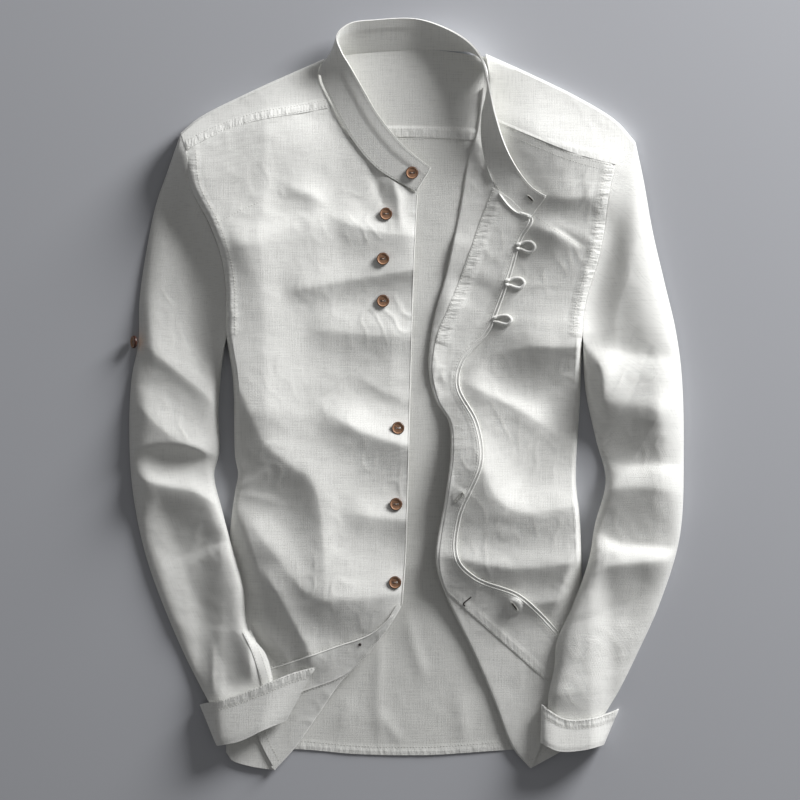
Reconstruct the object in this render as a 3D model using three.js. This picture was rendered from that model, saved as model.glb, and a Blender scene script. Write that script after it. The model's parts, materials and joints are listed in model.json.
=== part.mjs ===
// A long-sleeved band-collared shirt of cotton and linen, laid on its back on a flat surface, open at the front.
// Millimetres, +Z up, +Y from the hem to the neck, +X to the wearer's left. The surface is z = 0.
// Each cut piece of cloth is a wall of even thickness, given by the rails that bound it in plan and by its
// height over the surface. The right front's lower corner is folded up over itself, the left front's edge is
// turned back over its own face from the neck to the hem, and both cuffs are turned back over the sleeves' ends.

import * as THREE from 'three'

// ---- Sizes --------------------------------------------------------------------------------------

const WALL = 1.2 // cloth, with the air in its weave
const BAND_WALL = 1.6 // collar band and cuffs: two layers and their interlining
const SEAM = 0.3 // gap at a sewn seam
const LOOSE_SEAM = 0.8 // gap where two curved edges meet with different facets
const BODY_RISE = 5 // face of a front over the surface
const TROUGH = 1.7 // deepest that a fold of a front sinks under the even cloth
const SLEEVE_TROUGH = 2.4
const TURN_RADIUS = 1.1 // centre of the cloth in the bend where a front turns over
const LEAST_TURN = 4 // narrowest stretch of a turned-over part
const PLACKET_WIDTH = 37
const PLACKET_WALL = 0.9
const SHOULDER_RADIUS = 2.5 // outside of the bend along a shoulder
const UNDERARM_Y = 61
const SIDE_ROLL = [UNDERARM_Y + 6, UNDERARM_Y - 14] // where a front's side starts to roll down to the surface
const BUTTON = { radius: 6.35, thickness: 3, rim: 0.7, dish: 0.8 }
const BUTTON_STAND = 0.5 // thread under a button
const LOOP = { radius: 1.25, lift: 0.5, droop: 0.1 }
const FRONT_ROWS = 26
const YOKE_FRONT_ROWS = 7 // rows of the yoke's grid before its back
const SHOULDER_COLUMNS = 8
const NECK_COLUMNS = 6

// ---- Colours ------------------------------------------------------------------------------------

const CLOTH = { color: 0xdcdcd6, roughness: 0.9, metalness: 0 }
const BAND_CLOTH = { color: 0xe2e2dc, roughness: 0.9, metalness: 0 }
const WOOD = { color: 0x6b4a3e, roughness: 0.5, metalness: 0 }

// ---- Tables -------------------------------------------------------------------------------------

const table = (columns, ...rows) => rows.map(
  (row) => Object.fromEntries(columns.map((name, place) => [name, row[place]])))
const points = (...rows) => table(['x', 'y'], ...rows)

// Armhole and side of each front, from the yoke seam down to the hem.
const SIDE_RIGHT = points(
  [-213, 249], [-208, 211], [-190, 175], [-179, 144], [-174, 114], [-173, 61], [-167, 20], [-165, -56],
  [-162, -74], [-165, -92], [-170, -131], [-172, -200], [-174, -280], [-174, -352])
const SIDE_LEFT = points(
  [215, 235], [208, 201], [204, 169], [199, 144], [187, 103], [183, 82], [182, 62], [180, 1],
  [176, -80], [180, -120], [182, -180], [184, -250], [185, -338])

// Shoulder folds, from the armhole to the neck, and the yoke seams on the fronts below them.
const SHOULDER_RIGHT = points([-219, 267], [-201, 282], [-154, 306], [-108, 327], [-76, 341])
const SHOULDER_LEFT = points([235, 258], [216, 279], [179, 302], [128, 327], [86, 346])
const YOKE_SEAM_RIGHT = points([-213, 249], [-189, 262], [-145, 278], [-101, 286], [-67, 293])
const YOKE_SEAM_LEFT = points([215, 235], [177, 245], [134, 262], [93, 280])
const YOKE_BACK_SEAM = points([-213, 249], [-120, 259], [0, 263], [120, 255], [215, 235])
const NECKLINE = points([-74, 338], [-55, 345], [-25, 349], [33, 350], [66, 346], [84, 343])

// Right front: its neck edge, front edge, and hem up to the folded corner. The fold runs from hem to front edge.
const NECK_RIGHT = points([-67, 293], [-61, 277], [-48, 259], [-36, 245], [-22, 230], [0, 215], [17, 207])
const EDGE_RIGHT = points([17, 207], [13, 123], [10, 20], [5, -160], [1.5, -206])
const HEM_RIGHT = points([-174, -352], [-168, -360], [-150, -366], [-125, -370])
const CORNER_FOLD = points(
  [-125, -370], [-106, -349], [-82, -315], [-60, -283], [-35, -257], [-12, -228], [1.5, -206])
const CORNER_EDGE = points(
  [-125, -370], [-142, -335], [-150, -290], [-143, -272], [-109, -261], [-66, -246], [-28, -232], [-4, -211])
const CORNER_TIP = 0.4 // share of that outline up to the front edge

// Left front: the fold that the turned-back strip makes, the strip's free edge, and the hems.
const FOLD_LEFT = points(
  [82, 312], [77, 270], [68, 238], [60, 191], [46, 125], [33, 76], [29, 30], [36, -1], [49, -22], [51, -50],
  [46, -93], [36, -159], [45, -192], [75, -255], [95, -302], [113, -347], [131, -368])
const STRIP_EDGE = points(
  [89, 308], [83, 283], [85, 249], [95, 213], [113, 191], [132, 181], [121, 160], [111, 127], [99, 93],
  [89, 69], [63, 38], [59, 14], [77, -22], [82, -62], [60, -118], [58, -158], [76, -177], [120, -195],
  [158, -232], [176, -256])
const STRIP_HEM = points([131, -368], [142, -363], [160, -345], [172, -310], [176, -256])
const HEM_LEFT = points([185, -338], [160, -352], [131, -368])
const NECK_LEFT = points([93, 280], [86, 286], [82, 298], [82, 312])
const YOKE_NECK_RIGHT = points([-76, 341], [-81, 331], [-81, 320], [-75.5, 307], [-67.5, 293])
const YOKE_NECK_LEFT = points([86, 346], [90, 320], [93.5, 280])
const BACK_HEM = points(
  [-174, -352], [-106, -349], [-43, -354], [25, -355], [90, -351], [150, -346], [185, -338])

// Sleeves: outer and inner edges from the armhole down, and the end inside the turned-back cuff.
const SLEEVE_RIGHT = {
  outer: points(
    [-220, 267], [-232, 232], [-245, 194], [-255, 144], [-261, 100], [-262, 58], [-269, 20], [-271, -40],
    [-267, -95], [-253, -160], [-220, -245], [-193, -298], [-182, -317], [-172, -334]),
  inner: points(
    [-174, 61], [-178, 39], [-182, -13], [-181, -52], [-186, -75], [-178, -110], [-170, -140],
    [-157, -186], [-152, -229], [-134, -254], [-127, -278], [-122, -310]),
  armhole: points(
    [-220, 267], [-214, 249], [-209, 211], [-191.3, 174.5], [-180.3, 144], [-175, 114], [-174, 61]),
}
const SLEEVE_LEFT = {
  outer: points(
    [236, 258], [244, 220], [253, 169], [265, 117], [276, 70], [282, 25], [284, -48], [280, -136],
    [260, -203], [238, -252], [218, -292], [204, -315], [194, -336]),
  inner: points(
    [183, 62], [186, 10], [196, -38], [206, -80], [195, -125], [189, -159], [172, -207], [157, -240],
    [154, -267], [148, -298], [148, -332]),
  armhole: points(
    [236.5, 258], [216.5, 235], [209, 201], [205, 169], [200, 144], [188, 103], [184, 82], [183, 62]),
}

// Height of each sleeve's tube over what it lies on, from the armhole (0) to the end (1).
const SLEEVE_HEIGHT = table(['at', 'height'],
  [0, 7], [0.15, 9.5], [0.55, 10.5], [0.8, 9], [0.92, 5.5], [1, 5])

// Turned-back cuffs: the free edge, and the fold that ends the sleeve.
const CUFF_RIGHT = {
  top: points([-84, -266], [-109, -273], [-139, -285], [-174, -298], [-199, -304]),
  bottom: points([-114, -320], [-134, -328], [-159, -340], [-182, -345]),
}
const CUFF_LEFT = {
  top: points([219, -309], [192, -317], [166, -318], [141, -304]),
  bottom: points([204, -344], [183, -349], [158, -350], [140, -342]),
}
const CUFF_LIFT = 3.3 // of a sleeve's end over the lower layer of its cuff
const CUFF_HEIGHT = 11.6
const CUFF_FLARE = 0.42 // share of the open cuff that runs on past the sleeve
const CUFF_ROWS = [0, 0.35, 0.7, 0.93, 1]
const CUFF_CLEAR = 0.2 // of the lower layer over what it lies on
const CUFF_LIP = 0.8 // by which both layers draw together at the folded end
const OPEN_CUFF_EDGE = 3

// Collar band: where it is sewn on and its free edge, from the right front round the neck to the left front.
const COLLAR = table(['x', 'y', 'z', 'topX', 'topY', 'topZ'],
  [16, 208, 5, 31, 232, 8],
  [-23, 231, 5, 4, 254, 9],
  [-48, 260, 5, -21, 284, 10],
  [-69, 298, 5, -38, 313, 13],
  [-79, 324, 5, -50, 334, 18],
  [-76, 336, 4, -58, 348, 27],
  [-68, 343, 2.6, -62, 363, 30],
  [-50, 347, 2, -50, 375, 24],
  [-22, 350, 2, -24, 379, 21],
  [20, 352, 2, 16, 380, 22],
  [52, 350, 2.2, 46, 370, 28],
  [72, 347, 3, 68, 356, 36],
  [83, 337, 4.5, 80, 341, 38],
  [87, 320, 7, 86, 322, 39],
  [86, 300, 8, 90, 304, 39],
  [83, 283, 8.3, 95, 285, 38],
  [85, 252, 8.3, 104, 253, 34],
  [95, 214, 8.3, 118, 231, 25],
  [113, 191, 8.3, 134, 217, 14],
  [131, 182, 8.3, 147, 205, 10])

// ---- Folds in the cloth: a soft ridge (or trough, with a rise under 0) along each line, in plan -

const FOLD_COLUMNS = ['x1', 'y1', 'x2', 'y2', 'bend', 'rise', 'width']
const BODY_FOLDS = table(FOLD_COLUMNS,
  [-112, 115, -95, -45, 6, 5, 19],
  [-90, -50, -62, -140, -4, 4, 14],
  [-108, -75, -92, -135, 0, -3.5, 13],
  [-162, -90, -80, -184, 8, 6, 10],
  [-80, -184, 0, -178, 4, 5, 11],
  [-90, -145, -5, -146, 0, -3, 9],
  [-158, -122, -100, -212, 8, -3, 9],
  [-70, -25, -35, -70, 5, -3, 10],
  [-65, -5, -10, -15, 3, 3, 8],
  [-75, 42, -12, 14, 4, -2.5, 14],
  [-140, 181, -72, 172, -3, 3.5, 12],
  [-90, 108, -30, 102, 3, -2.5, 11],
  [-150, 10, -148, -65, 0, -2.5, 10],
  [150, 190, 190, 165, 0, -2.5, 14],
  [108, 32, 172, 10, 4, -3, 12],
  [92, 22, 155, -22, -6, 4.5, 10],
  [105, -22, 165, -55, 0, -2.5, 16],
  [88, -52, 118, -103, 5, 5.5, 10],
  [118, -103, 176, -95, 4, 5.5, 10],
  [92, -122, 174, -131, 0, -3, 11],
  [75, -155, 178, -158, 0, 3, 9])
const SLEEVE_RIGHT_FOLDS = table(FOLD_COLUMNS,
  [-250, 40, -208, 14, 4, -3.5, 9],
  [-262, 22, -208, -42, -4, 4.5, 10],
  [-202, 55, -200, -30, 0, -3, 9],
  [-245, -62, -190, -66, 6, -3.5, 9],
  [-266, -78, -198, -97, -4, 4.5, 9],
  [-235, -112, -205, -135, 0, -3.5, 10],
  [-243, -165, -205, -245, 3, 3, 10],
  [-195, -185, -172, -255, 0, -3, 11],
  [-168, -165, -156, -238, 3, 2.5, 8])
const SLEEVE_LEFT_FOLDS = table(FOLD_COLUMNS,
  [192, 72, 232, 44, 3, 3.5, 9],
  [212, 82, 272, 48, 4, -4, 9],
  [205, 20, 275, 14, 0, 4, 13],
  [205, -32, 260, -36, 5, -4, 13],
  [212, -72, 270, -70, 0, 3.5, 9],
  [202, -122, 272, -131, 3, -4, 9],
  [200, -148, 270, -151, 0, 4, 9],
  [228, -172, 262, -180, 0, -3.5, 11],
  [205, -215, 186, -300, -3, 3.5, 10],
  [170, -250, 168, -300, 0, -3, 8])

// ---- Curves and heights -------------------------------------------------------------------------

const flat = ({ x, y }) => new THREE.Vector3(x, y, 0)
const smoothCurve = (rows) => new THREE.CatmullRomCurve3(rows.map(flat), false, 'centripetal')
const lerp = THREE.MathUtils.lerp
const ramp = (value, start, end) => {
  const share = THREE.MathUtils.clamp((value - start) / (end - start), 0, 1)
  return share * share * (3 - 2 * share)
}

// The value of one column where another passes a given number, between the two rows that hold it.
function lookUp(rows, key, wanted, column) {
  const falling = rows[0][key] > rows[rows.length - 1][key]
  const sorted = falling ? [...rows].reverse() : rows
  const above = sorted.findIndex((row) => row[key] >= wanted)
  if (above === 0) return sorted[0][column]
  if (above < 0) return sorted[sorted.length - 1][column]
  const [low, high] = [sorted[above - 1], sorted[above]]
  return lerp(low[column], high[column], (wanted - low[key]) / (high[key] - low[key]))
}

// Height that the folds add at a point: each is a bent line with soft sides and tapered ends.
function relief(folds, x, y) {
  let height = 0
  for (const { x1, y1, x2, y2, bend, rise, width } of folds) {
    const length = Math.hypot(x2 - x1, y2 - y1)
    const [alongX, alongY] = [(x2 - x1) / length, (y2 - y1) / length]
    const along = ((x - x1) * alongX + (y - y1) * alongY) / length
    if (along < -0.2 || along > 1.2) continue
    const bow = 4 * bend * along * (1 - along)
    const across = (x - x1) * -alongY + (y - y1) * alongX - bow
    const taper = ramp(along, -0.2, 0.25) * ramp(along, 1.2, 0.75)
    height += rise * taper * Math.exp(-((across / width) ** 2))
  }
  return height
}

// Where the sleeves, the folded corner and the turned-back strip cover the fronts.
const COVER = {
  middle: 25, // parts the right front from the left one
  rightSleeveY: -125, // from here down the sleeve lies on the front
  leftSleeveY: -172,
  besideSleeve: 20,
  cornerSlope: 0.475,
  besideCorner: [-2, 14],
  besideStrip: [-4, 12],
  stripTop: { x: 145, y: 182 },
}
const LOWER_STRIP_EDGE = STRIP_EDGE.filter(({ y }) => y < COVER.stripTop.y)

// Share of the folds that shows: the fronts lie even under what covers them.
function openToView(x, y) {
  if (x < COVER.middle) {
    const sleeveEdge = lookUp(SLEEVE_RIGHT.inner, 'y', y, 'x')
    const clearOfSleeve = y > COVER.rightSleeveY ? 1 : ramp(x, sleeveEdge, sleeveEdge + COVER.besideSleeve)
    const corner = EDGE_RIGHT.at(-1)
    const cornerLine = corner.y + (x - corner.x) * COVER.cornerSlope
    return clearOfSleeve * ramp(y, ...COVER.besideCorner.map((gap) => cornerLine + gap))
  }
  const sleeveEdge = lookUp(SLEEVE_LEFT.inner, 'y', y, 'x')
  const clearOfSleeve = y > COVER.leftSleeveY ? 1 : ramp(x, sleeveEdge, sleeveEdge - COVER.besideSleeve)
  const stripEdge = y > COVER.stripTop.y ? COVER.stripTop.x : lookUp(LOWER_STRIP_EDGE, 'y', y, 'x')
  return clearOfSleeve * ramp(x, ...COVER.besideStrip.map((gap) => stripEdge + gap))
}
const settle = (height, room) => (height < 0 ? room * (Math.exp(height / room) - 1) : height)
const bodyTop = (x, y) => BODY_RISE + settle(relief(BODY_FOLDS, x, y) * openToView(x, y), TROUGH)

// ---- Walls --------------------------------------------------------------------------------------

// A patch in plan between four rails: left and right run down it, top and bottom across it.
function patch(left, right, top, bottom) {
  return (down, across) => {
    const point = new THREE.Vector3()
    point.addScaledVector(left.getPointAt(down), 1 - across)
    point.addScaledVector(right.getPointAt(down), across)
    point.addScaledVector(top.getPointAt(across), 1 - down)
    point.addScaledVector(bottom.getPointAt(across), down)
    point.addScaledVector(left.getPointAt(0), -(1 - down) * (1 - across))
    point.addScaledVector(right.getPointAt(0), -(1 - down) * across)
    point.addScaledVector(left.getPointAt(1), -down * (1 - across))
    return point.addScaledVector(right.getPointAt(1), -down * across)
  }
}

// The unit normal at each point of a grid, from the faces around it that the keep test takes.
function gridNormals(grid, closed, keep) {
  const normals = grid.map((row) => row.map(() => new THREE.Vector3()))
  for (const [i, j, next] of cells(grid, closed, keep)) {
    const corners = [grid[i][j], grid[i + 1][j], grid[i + 1][next], grid[i][next]]
    const diagonals = [corners[2].clone().sub(corners[0]), corners[3].clone().sub(corners[1])]
    const normal = diagonals[0].cross(diagonals[1])
    normals[i][j].add(normal)
    normals[i + 1][j].add(normal)
    normals[i + 1][next].add(normal)
    normals[i][next].add(normal)
  }
  normals.forEach((row) => row.forEach((normal) => normal.normalize()))
  return normals
}

function cells(grid, closed, keep) {
  const found = []
  for (let i = 0; i < grid.length - 1; i += 1) {
    const count = grid[i].length
    for (let j = 0; j < (closed ? count : count - 1); j += 1) {
      if (keep(i, j)) found.push([i, j, (j + 1) % count])
    }
  }
  return found
}

// A closed wall on a grid of points, from one distance to another along their normals. Rows run down the grid,
// and seen from where the normals point, columns run to the right.
function wall(grid, inner, outer, { closed = false, keep = () => true, region = keep } = {}) {
  const normals = gridNormals(grid, closed, keep)
  const positions = []
  const numbers = new Map()
  const vertex = (i, j, side) => {
    const key = `${i},${j},${side}`
    if (!numbers.has(key)) {
      numbers.set(key, positions.length / 3)
      const point = grid[i][j].clone().addScaledVector(normals[i][j], side ? outer : inner)
      positions.push(point.x, point.y, Math.max(point.z, 0))
    }
    return numbers.get(key)
  }
  const triangles = []
  const edges = new Map()
  for (const [i, j, next] of cells(grid, closed, region)) {
    const ring = [[i, j], [i + 1, j], [i + 1, next], [i, next]]
    const top = ring.map(([row, column]) => vertex(row, column, 1))
    const under = ring.map(([row, column]) => vertex(row, column, 0))
    triangles.push(top[0], top[1], top[2], top[0], top[2], top[3])
    triangles.push(under[0], under[2], under[1], under[0], under[3], under[2])
    ring.forEach((start, place) => {
      const end = ring[(place + 1) % 4]
      const back = `${end}|${start}`
      if (edges.has(back)) edges.delete(back)
      else edges.set(`${start}|${end}`, [start, end])
    })
  }
  for (const [start, end] of edges.values()) {
    const corners = [vertex(...start, 0), vertex(...end, 0), vertex(...end, 1), vertex(...start, 1)]
    triangles.push(corners[0], corners[1], corners[2], corners[0], corners[2], corners[3])
  }
  const geometry = new THREE.BufferGeometry()
  geometry.setAttribute('position', new THREE.Float32BufferAttribute(positions, 3))
  geometry.setIndex(triangles)
  return geometry
}

const shirt = new THREE.Group()
function add(name, geometry, finish = CLOTH) {
  const mesh = new THREE.Mesh(geometry, new THREE.MeshStandardMaterial(finish))
  mesh.name = name
  shirt.add(mesh)
  return mesh
}

const shares = (count, start = 0, end = 1) => Array.from(
  { length: count + 1 }, (_, step) => lerp(start, end, step / count))
const onto = (point, height) => new THREE.Vector3(point.x, point.y, height)

// ---- Fronts -------------------------------------------------------------------------------------

const ROLL = [0, 0.3, 0.62, 1].map((share) => (share * Math.PI) / 2)
const BEND = [45, 90, 135, 180].map(THREE.MathUtils.degToRad)
const SEAM_SHARE = { least: 0.12, most: 0.85 } // of the way across a turned-over part
const TURNED_Z = BODY_RISE + 2 * TURN_RADIUS

// One row of a front from its side inwards: the side rolls down to the surface below the underarm.
function frontRow(plan, down, columns) {
  const side = plan(down, 0)
  const inward = plan(down, columns[0]).sub(side).normalize()
  const rolled = ramp(side.y, ...SIDE_ROLL)
  const row = ROLL.map((angle) => {
    const point = side.clone().addScaledVector(inward, BODY_RISE * (1 - Math.cos(angle)) + 1e-3)
    const full = bodyTop(point.x, point.y)
    return onto(point, lerp(full, full * Math.sin(angle), rolled))
  })
  for (const across of columns) {
    const point = plan(down, across)
    row.push(onto(point, bodyTop(point.x, point.y)))
  }
  return row
}

// Points of the bend where a front turns over its own face, and the centre line that it starts from.
function turnOver(fold, inward, height) {
  const centre = fold.clone().addScaledVector(inward, TURN_RADIUS + WALL)
  const bend = BEND.map((angle) => {
    const point = centre.clone().addScaledVector(inward, -TURN_RADIUS * Math.sin(angle))
    return onto(point, height + TURN_RADIUS * (1 - Math.cos(angle)))
  })
  return { centre, bend }
}

// Points across a turned-over part, from the bend to its free edge, with one at the placket's seam.
function turnedPart(start, edge) {
  const seam = THREE.MathUtils.clamp(
    1 - PLACKET_WIDTH / edge.distanceTo(start), SEAM_SHARE.least, SEAM_SHARE.most)
  return [seam / 2, seam, (1 + seam) / 2, 1].map((share) => onto(start.clone().lerp(edge, share), TURNED_Z))
}

function frontRight() {
  const hemAndFold = new THREE.CurvePath()
  hemAndFold.add(smoothCurve(HEM_RIGHT))
  hemAndFold.add(smoothCurve(CORNER_FOLD))
  const neck = new THREE.CurvePath()
  neck.add(smoothCurve(YOKE_SEAM_RIGHT))
  neck.add(smoothCurve(NECK_RIGHT))
  const plan = patch(smoothCurve(SIDE_RIGHT), smoothCurve(EDGE_RIGHT), neck, hemAndFold)
  const [hemLength, wholeLength] = hemAndFold.getCurveLengths()
  const tip = hemLength / wholeLength
  const beforeTip = shares(3, 0.06, tip)
  const columns = [...beforeTip, ...shares(12, tip, 1).slice(1)]
  const grid = shares(FRONT_ROWS).map((down) => frontRow(plan, down, columns))
  const firstTurned = ROLL.length + beforeTip.length - 1
  const fold = smoothCurve(CORNER_FOLD)
  const edge = smoothCurve(CORNER_EDGE)
  const turned = Array.from({ length: BEND.length + 4 }, () => grid[0].map(() => new THREE.Vector3()))
  const turnedCount = grid[0].length - firstTurned
  for (let place = 0; place < turnedCount; place += 1) {
    const column = firstTurned + place
    const share = place / (turnedCount - 1)
    const line = fold.getTangentAt(share)
    const inward = new THREE.Vector3(-line.y, line.x, 0)
    const { centre, bend } = turnOver(fold.getPointAt(share), inward, BODY_RISE)
    grid[FRONT_ROWS][column] = onto(centre, BODY_RISE)
    bend.forEach((point, step) => { turned[step][column] = point })
    let far = edge.getPointAt(share)
    const reach = far.clone().sub(centre).dot(inward)
    if (reach < LEAST_TURN) far = centre.clone().addScaledVector(inward, LEAST_TURN)
    turnedPart(centre, far).forEach((point, step) => { turned[BEND.length + step][column] = point })
  }
  const whole = [...grid, ...turned]
  const keep = (i, j) => i < FRONT_ROWS || j >= firstTurned
  add('front_right', wall(whole, -WALL, 0, { keep }))
  const seamRow = FRONT_ROWS + BEND.length + 2
  const edgeColumn = firstTurned + Math.round(CORNER_TIP * (turnedCount - 1))
  const region = (i, j) => i >= seamRow && j >= edgeColumn && j < grid[0].length - 2
  add('placket_right', wall(whole, -WALL - SEAM - PLACKET_WALL, -WALL - SEAM, { keep, region }), BAND_CLOTH)
}

function frontLeft() {
  const top = new THREE.CurvePath()
  top.add(smoothCurve(YOKE_SEAM_LEFT))
  top.add(smoothCurve(NECK_LEFT))
  const fold = smoothCurve(FOLD_LEFT)
  const edge = smoothCurve(STRIP_EDGE)
  const hem = smoothCurve(STRIP_HEM)
  const plan = patch(smoothCurve(SIDE_LEFT), fold, top, smoothCurve(HEM_LEFT))
  const [seamLength, topLength] = top.getCurveLengths()
  const corner = seamLength / topLength
  const columns = [...shares(8, 0.05, corner), ...shares(3, corner, 1).slice(1)]
  const strip = patch(fold, edge, smoothCurve([FOLD_LEFT[0], STRIP_EDGE[0]]), hem)
  const grid = shares(FRONT_ROWS).map((down) => {
    const row = frontRow(plan, down, columns)
    const line = fold.getTangentAt(down)
    const inward = new THREE.Vector3(-line.y, line.x, 0)
    const { centre, bend } = turnOver(fold.getPointAt(down), inward, BODY_RISE)
    row[row.length - 1] = onto(centre, BODY_RISE)
    let far = strip(down, 1)
    if (far.distanceTo(centre) < LEAST_TURN) far = centre.clone().addScaledVector(inward, LEAST_TURN)
    row.push(...bend, ...turnedPart(centre, far))
    return row.reverse()
  })
  add('front_left', wall(grid, -WALL, 0))
  const region = (i, j) => j < 2 && i > 5
  add('placket_left', wall(grid, -WALL - SEAM - PLACKET_WALL, -WALL - SEAM, { region }), BAND_CLOTH)
}

// ---- Back and yoke ------------------------------------------------------------------------------

function back() {
  const plan = patch(smoothCurve(SIDE_RIGHT), smoothCurve(SIDE_LEFT), smoothCurve(YOKE_BACK_SEAM),
    smoothCurve(BACK_HEM))
  const grid = shares(FRONT_ROWS).map((down) => shares(8).map((across) => {
    const point = plan(down, across)
    const inset = lerp(LOOSE_SEAM, WALL + 2 * SEAM, ramp(point.y, ...SIDE_ROLL))
    if (across === 0) point.x += inset
    if (across === 1) point.x -= inset
    point.y -= SEAM * (1 - down)
    return onto(point, WALL)
  }))
  add('back', wall(grid, -WALL, 0))
}

// The yoke wraps over both shoulders: from the front seam up to the fold, round it, and down to the back's seam.
function yoke() {
  const seam = smoothCurve(YOKE_BACK_SEAM)
  const shoulder = (fold, front, leftEnd, rightEnd, start, end) => {
    const plan = patch(smoothCurve(leftEnd), smoothCurve(rightEnd), smoothCurve(fold), smoothCurve(front))
    return { plan, start, end }
  }
  const right = shoulder(
    SHOULDER_RIGHT, YOKE_SEAM_RIGHT, [SHOULDER_RIGHT[0], YOKE_SEAM_RIGHT[0]], YOKE_NECK_RIGHT, 0, 0.33)
  const left = shoulder(
    SHOULDER_LEFT.toReversed(), YOKE_SEAM_LEFT.toReversed(), YOKE_NECK_LEFT,
    [SHOULDER_LEFT[0], YOKE_SEAM_LEFT[0]], 0.68, 1)
  const columns = [
    ...shares(SHOULDER_COLUMNS).map((across) => overShoulder(right, seam, across)),
    ...shares(NECK_COLUMNS).slice(1, -1).map((across) => underNeck(seam, across, right.end, left.start)),
    ...shares(SHOULDER_COLUMNS).map((across) => overShoulder(left, seam, across)),
  ]
  const grid = columns[0].map((_, row) => columns.map((column) => column[row]))
  const neckColumns = (j) => j >= SHOULDER_COLUMNS && j < columns.length - SHOULDER_COLUMNS - 1
  add('yoke', wall(grid, 0, WALL, { keep: (i, j) => i >= YOKE_FRONT_ROWS || !neckColumns(j) }))
}

// A column of the yoke's face over a shoulder, from its front seam round the fold to its back seam.
function overShoulder({ plan, start, end }, seam, across) {
  const top = plan(0, across)
  const low = seam.getPointAt(lerp(start, end, across))
  const inward = plan(1, across).sub(top).normalize()
  const bendStart = top.clone().addScaledVector(inward, SHOULDER_RADIUS)
  const onFront = [1, 0.66, 0.33].map((down) => {
    const point = plan(down, across)
    if (down === 1) point.y += SEAM
    return onto(point, bodyTop(point.x, point.y))
  })
  const bend = [0, 45, 90, 135, 180].map((degrees) => {
    const angle = THREE.MathUtils.degToRad(degrees)
    const point = bendStart.clone().addScaledVector(inward, -SHOULDER_RADIUS * Math.sin(angle))
    return onto(point, (BODY_RISE * (1 + Math.cos(angle))) / 2)
  })
  const onBack = [0.4, 0.7, 1].map((down) => onto(bendStart.clone().lerp(low, down), 0))
  onBack[2].y += SEAM
  return [...onFront, ...bend, ...onBack]
}

// A column of the yoke under the neck, where it starts at the neckline.
function underNeck(seam, across, start, end) {
  const top = smoothCurve(NECKLINE).getPointAt(across)
  const low = seam.getPointAt(lerp(start, end, across))
  low.y += SEAM
  const down = [...Array.from({ length: YOKE_FRONT_ROWS }, () => 0), 0, 0.4, 0.7, 1]
  return down.map((share) => onto(top.clone().lerp(low, share), 0))
}

// ---- Sleeves ------------------------------------------------------------------------------------

const RING_TOP = [0, 0.015, 0.06, 0.14, 0.25, 0.38, 0.5, 0.62, 0.75, 0.86, 0.94, 0.985, 1]
const RING_UNDER = [0.975, 0.88, 0.7, 0.5, 0.3, 0.12, 0.025]
const SLEEVE_ROWS = 22
const SLEEVE_EDGE = 2 // height of the tube's two side edges
const SLEEVE_PLACKET = { row: SLEEVE_ROWS - 5, rows: 3, column: 8, columns: 2 } // cells that it covers
const CLEAR = 1.2 // between a sleeve and what it lies on
const TURNED_STACK = 4.8 // height of a turned-over part over its front, with its placket
const SIDE_SLOPE = [30, 3] // a sleeve climbs between these distances outside a front's side

// Height of what a sleeve lies on: the surface, then a front, then that front's turned-over part as well. Each
// of the last two comes in between the two heights up the shirt that are given for it.
const liftOver = (side, outward, frontY, turnedY) => (x, y) => {
  const edge = lookUp(side, 'y', y, 'x')
  const onFront = ramp(x, ...SIDE_SLOPE.map((gap) => edge + outward * gap)) * ramp(y, ...frontY)
  return onFront * (BODY_RISE + CLEAR + TURNED_STACK * ramp(y, ...turnedY))
}
const liftRight = liftOver(SIDE_RIGHT, -1, [-95, -135], [-215, -258])
const liftLeft = liftOver(SIDE_LEFT, 1, [-140, -178], [-188, -226])

// Section of a flat tube, from one side edge (0) to the other (1).
const arch = (across) => (1 - Math.abs(2 * across - 1) ** 5) ** 0.45

// The tube as rings of points: from the outer edge over the top to the inner edge, and back underneath.
function sleeveGrid({ outer, inner, armhole }, lift, folds) {
  const [outerRail, innerRail] = [smoothCurve(outer), smoothCurve(inner)]
  const end = smoothCurve([outer[outer.length - 1], inner[inner.length - 1]])
  const plan = patch(outerRail, innerRail, smoothCurve(armhole), end)
  return shares(SLEEVE_ROWS).map((down) => {
    const height = lookUp(SLEEVE_HEIGHT, 'at', down, 'height')
    const raise = CUFF_LIFT * ramp(down, 0.84, 0.92)
    const over = RING_TOP.map((across) => {
      const point = plan(down, across)
      const base = lift(point.x, point.y) + raise
      if (across === 0 || across === 1) return onto(point, base + SLEEVE_EDGE)
      const awayFromEnds = ramp(down, 0.97, 0.9) * ramp(down, 0.02, 0.1)
      const creases = settle(relief(folds, point.x, point.y), SLEEVE_TROUGH) * awayFromEnds
      return onto(point, base + height * arch(across) + creases * arch(across) ** 2)
    })
    const under = RING_UNDER.map((across) => {
      const point = plan(down, across)
      return onto(point, lift(point.x, point.y) + raise)
    })
    return [...over, ...under]
  })
}

function sleeve(side, rails, lift, folds) {
  const grid = sleeveGrid(rails, lift, folds)
  if (side === 'left') grid.forEach((ring) => ring.reverse())
  add(`sleeve_${side}`, wall(grid, -WALL, 0, { closed: true }))
  if (side === 'left') return
  const { row, rows, column, columns } = SLEEVE_PLACKET
  const region = (i, j) => i >= row && i < row + rows && j >= column && j < column + columns
  add('sleeve_placket_right', wall(grid, SEAM, SEAM + PLACKET_WALL, { closed: true, region }), BAND_CLOTH)
}

// ---- Cuffs --------------------------------------------------------------------------------------

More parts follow.
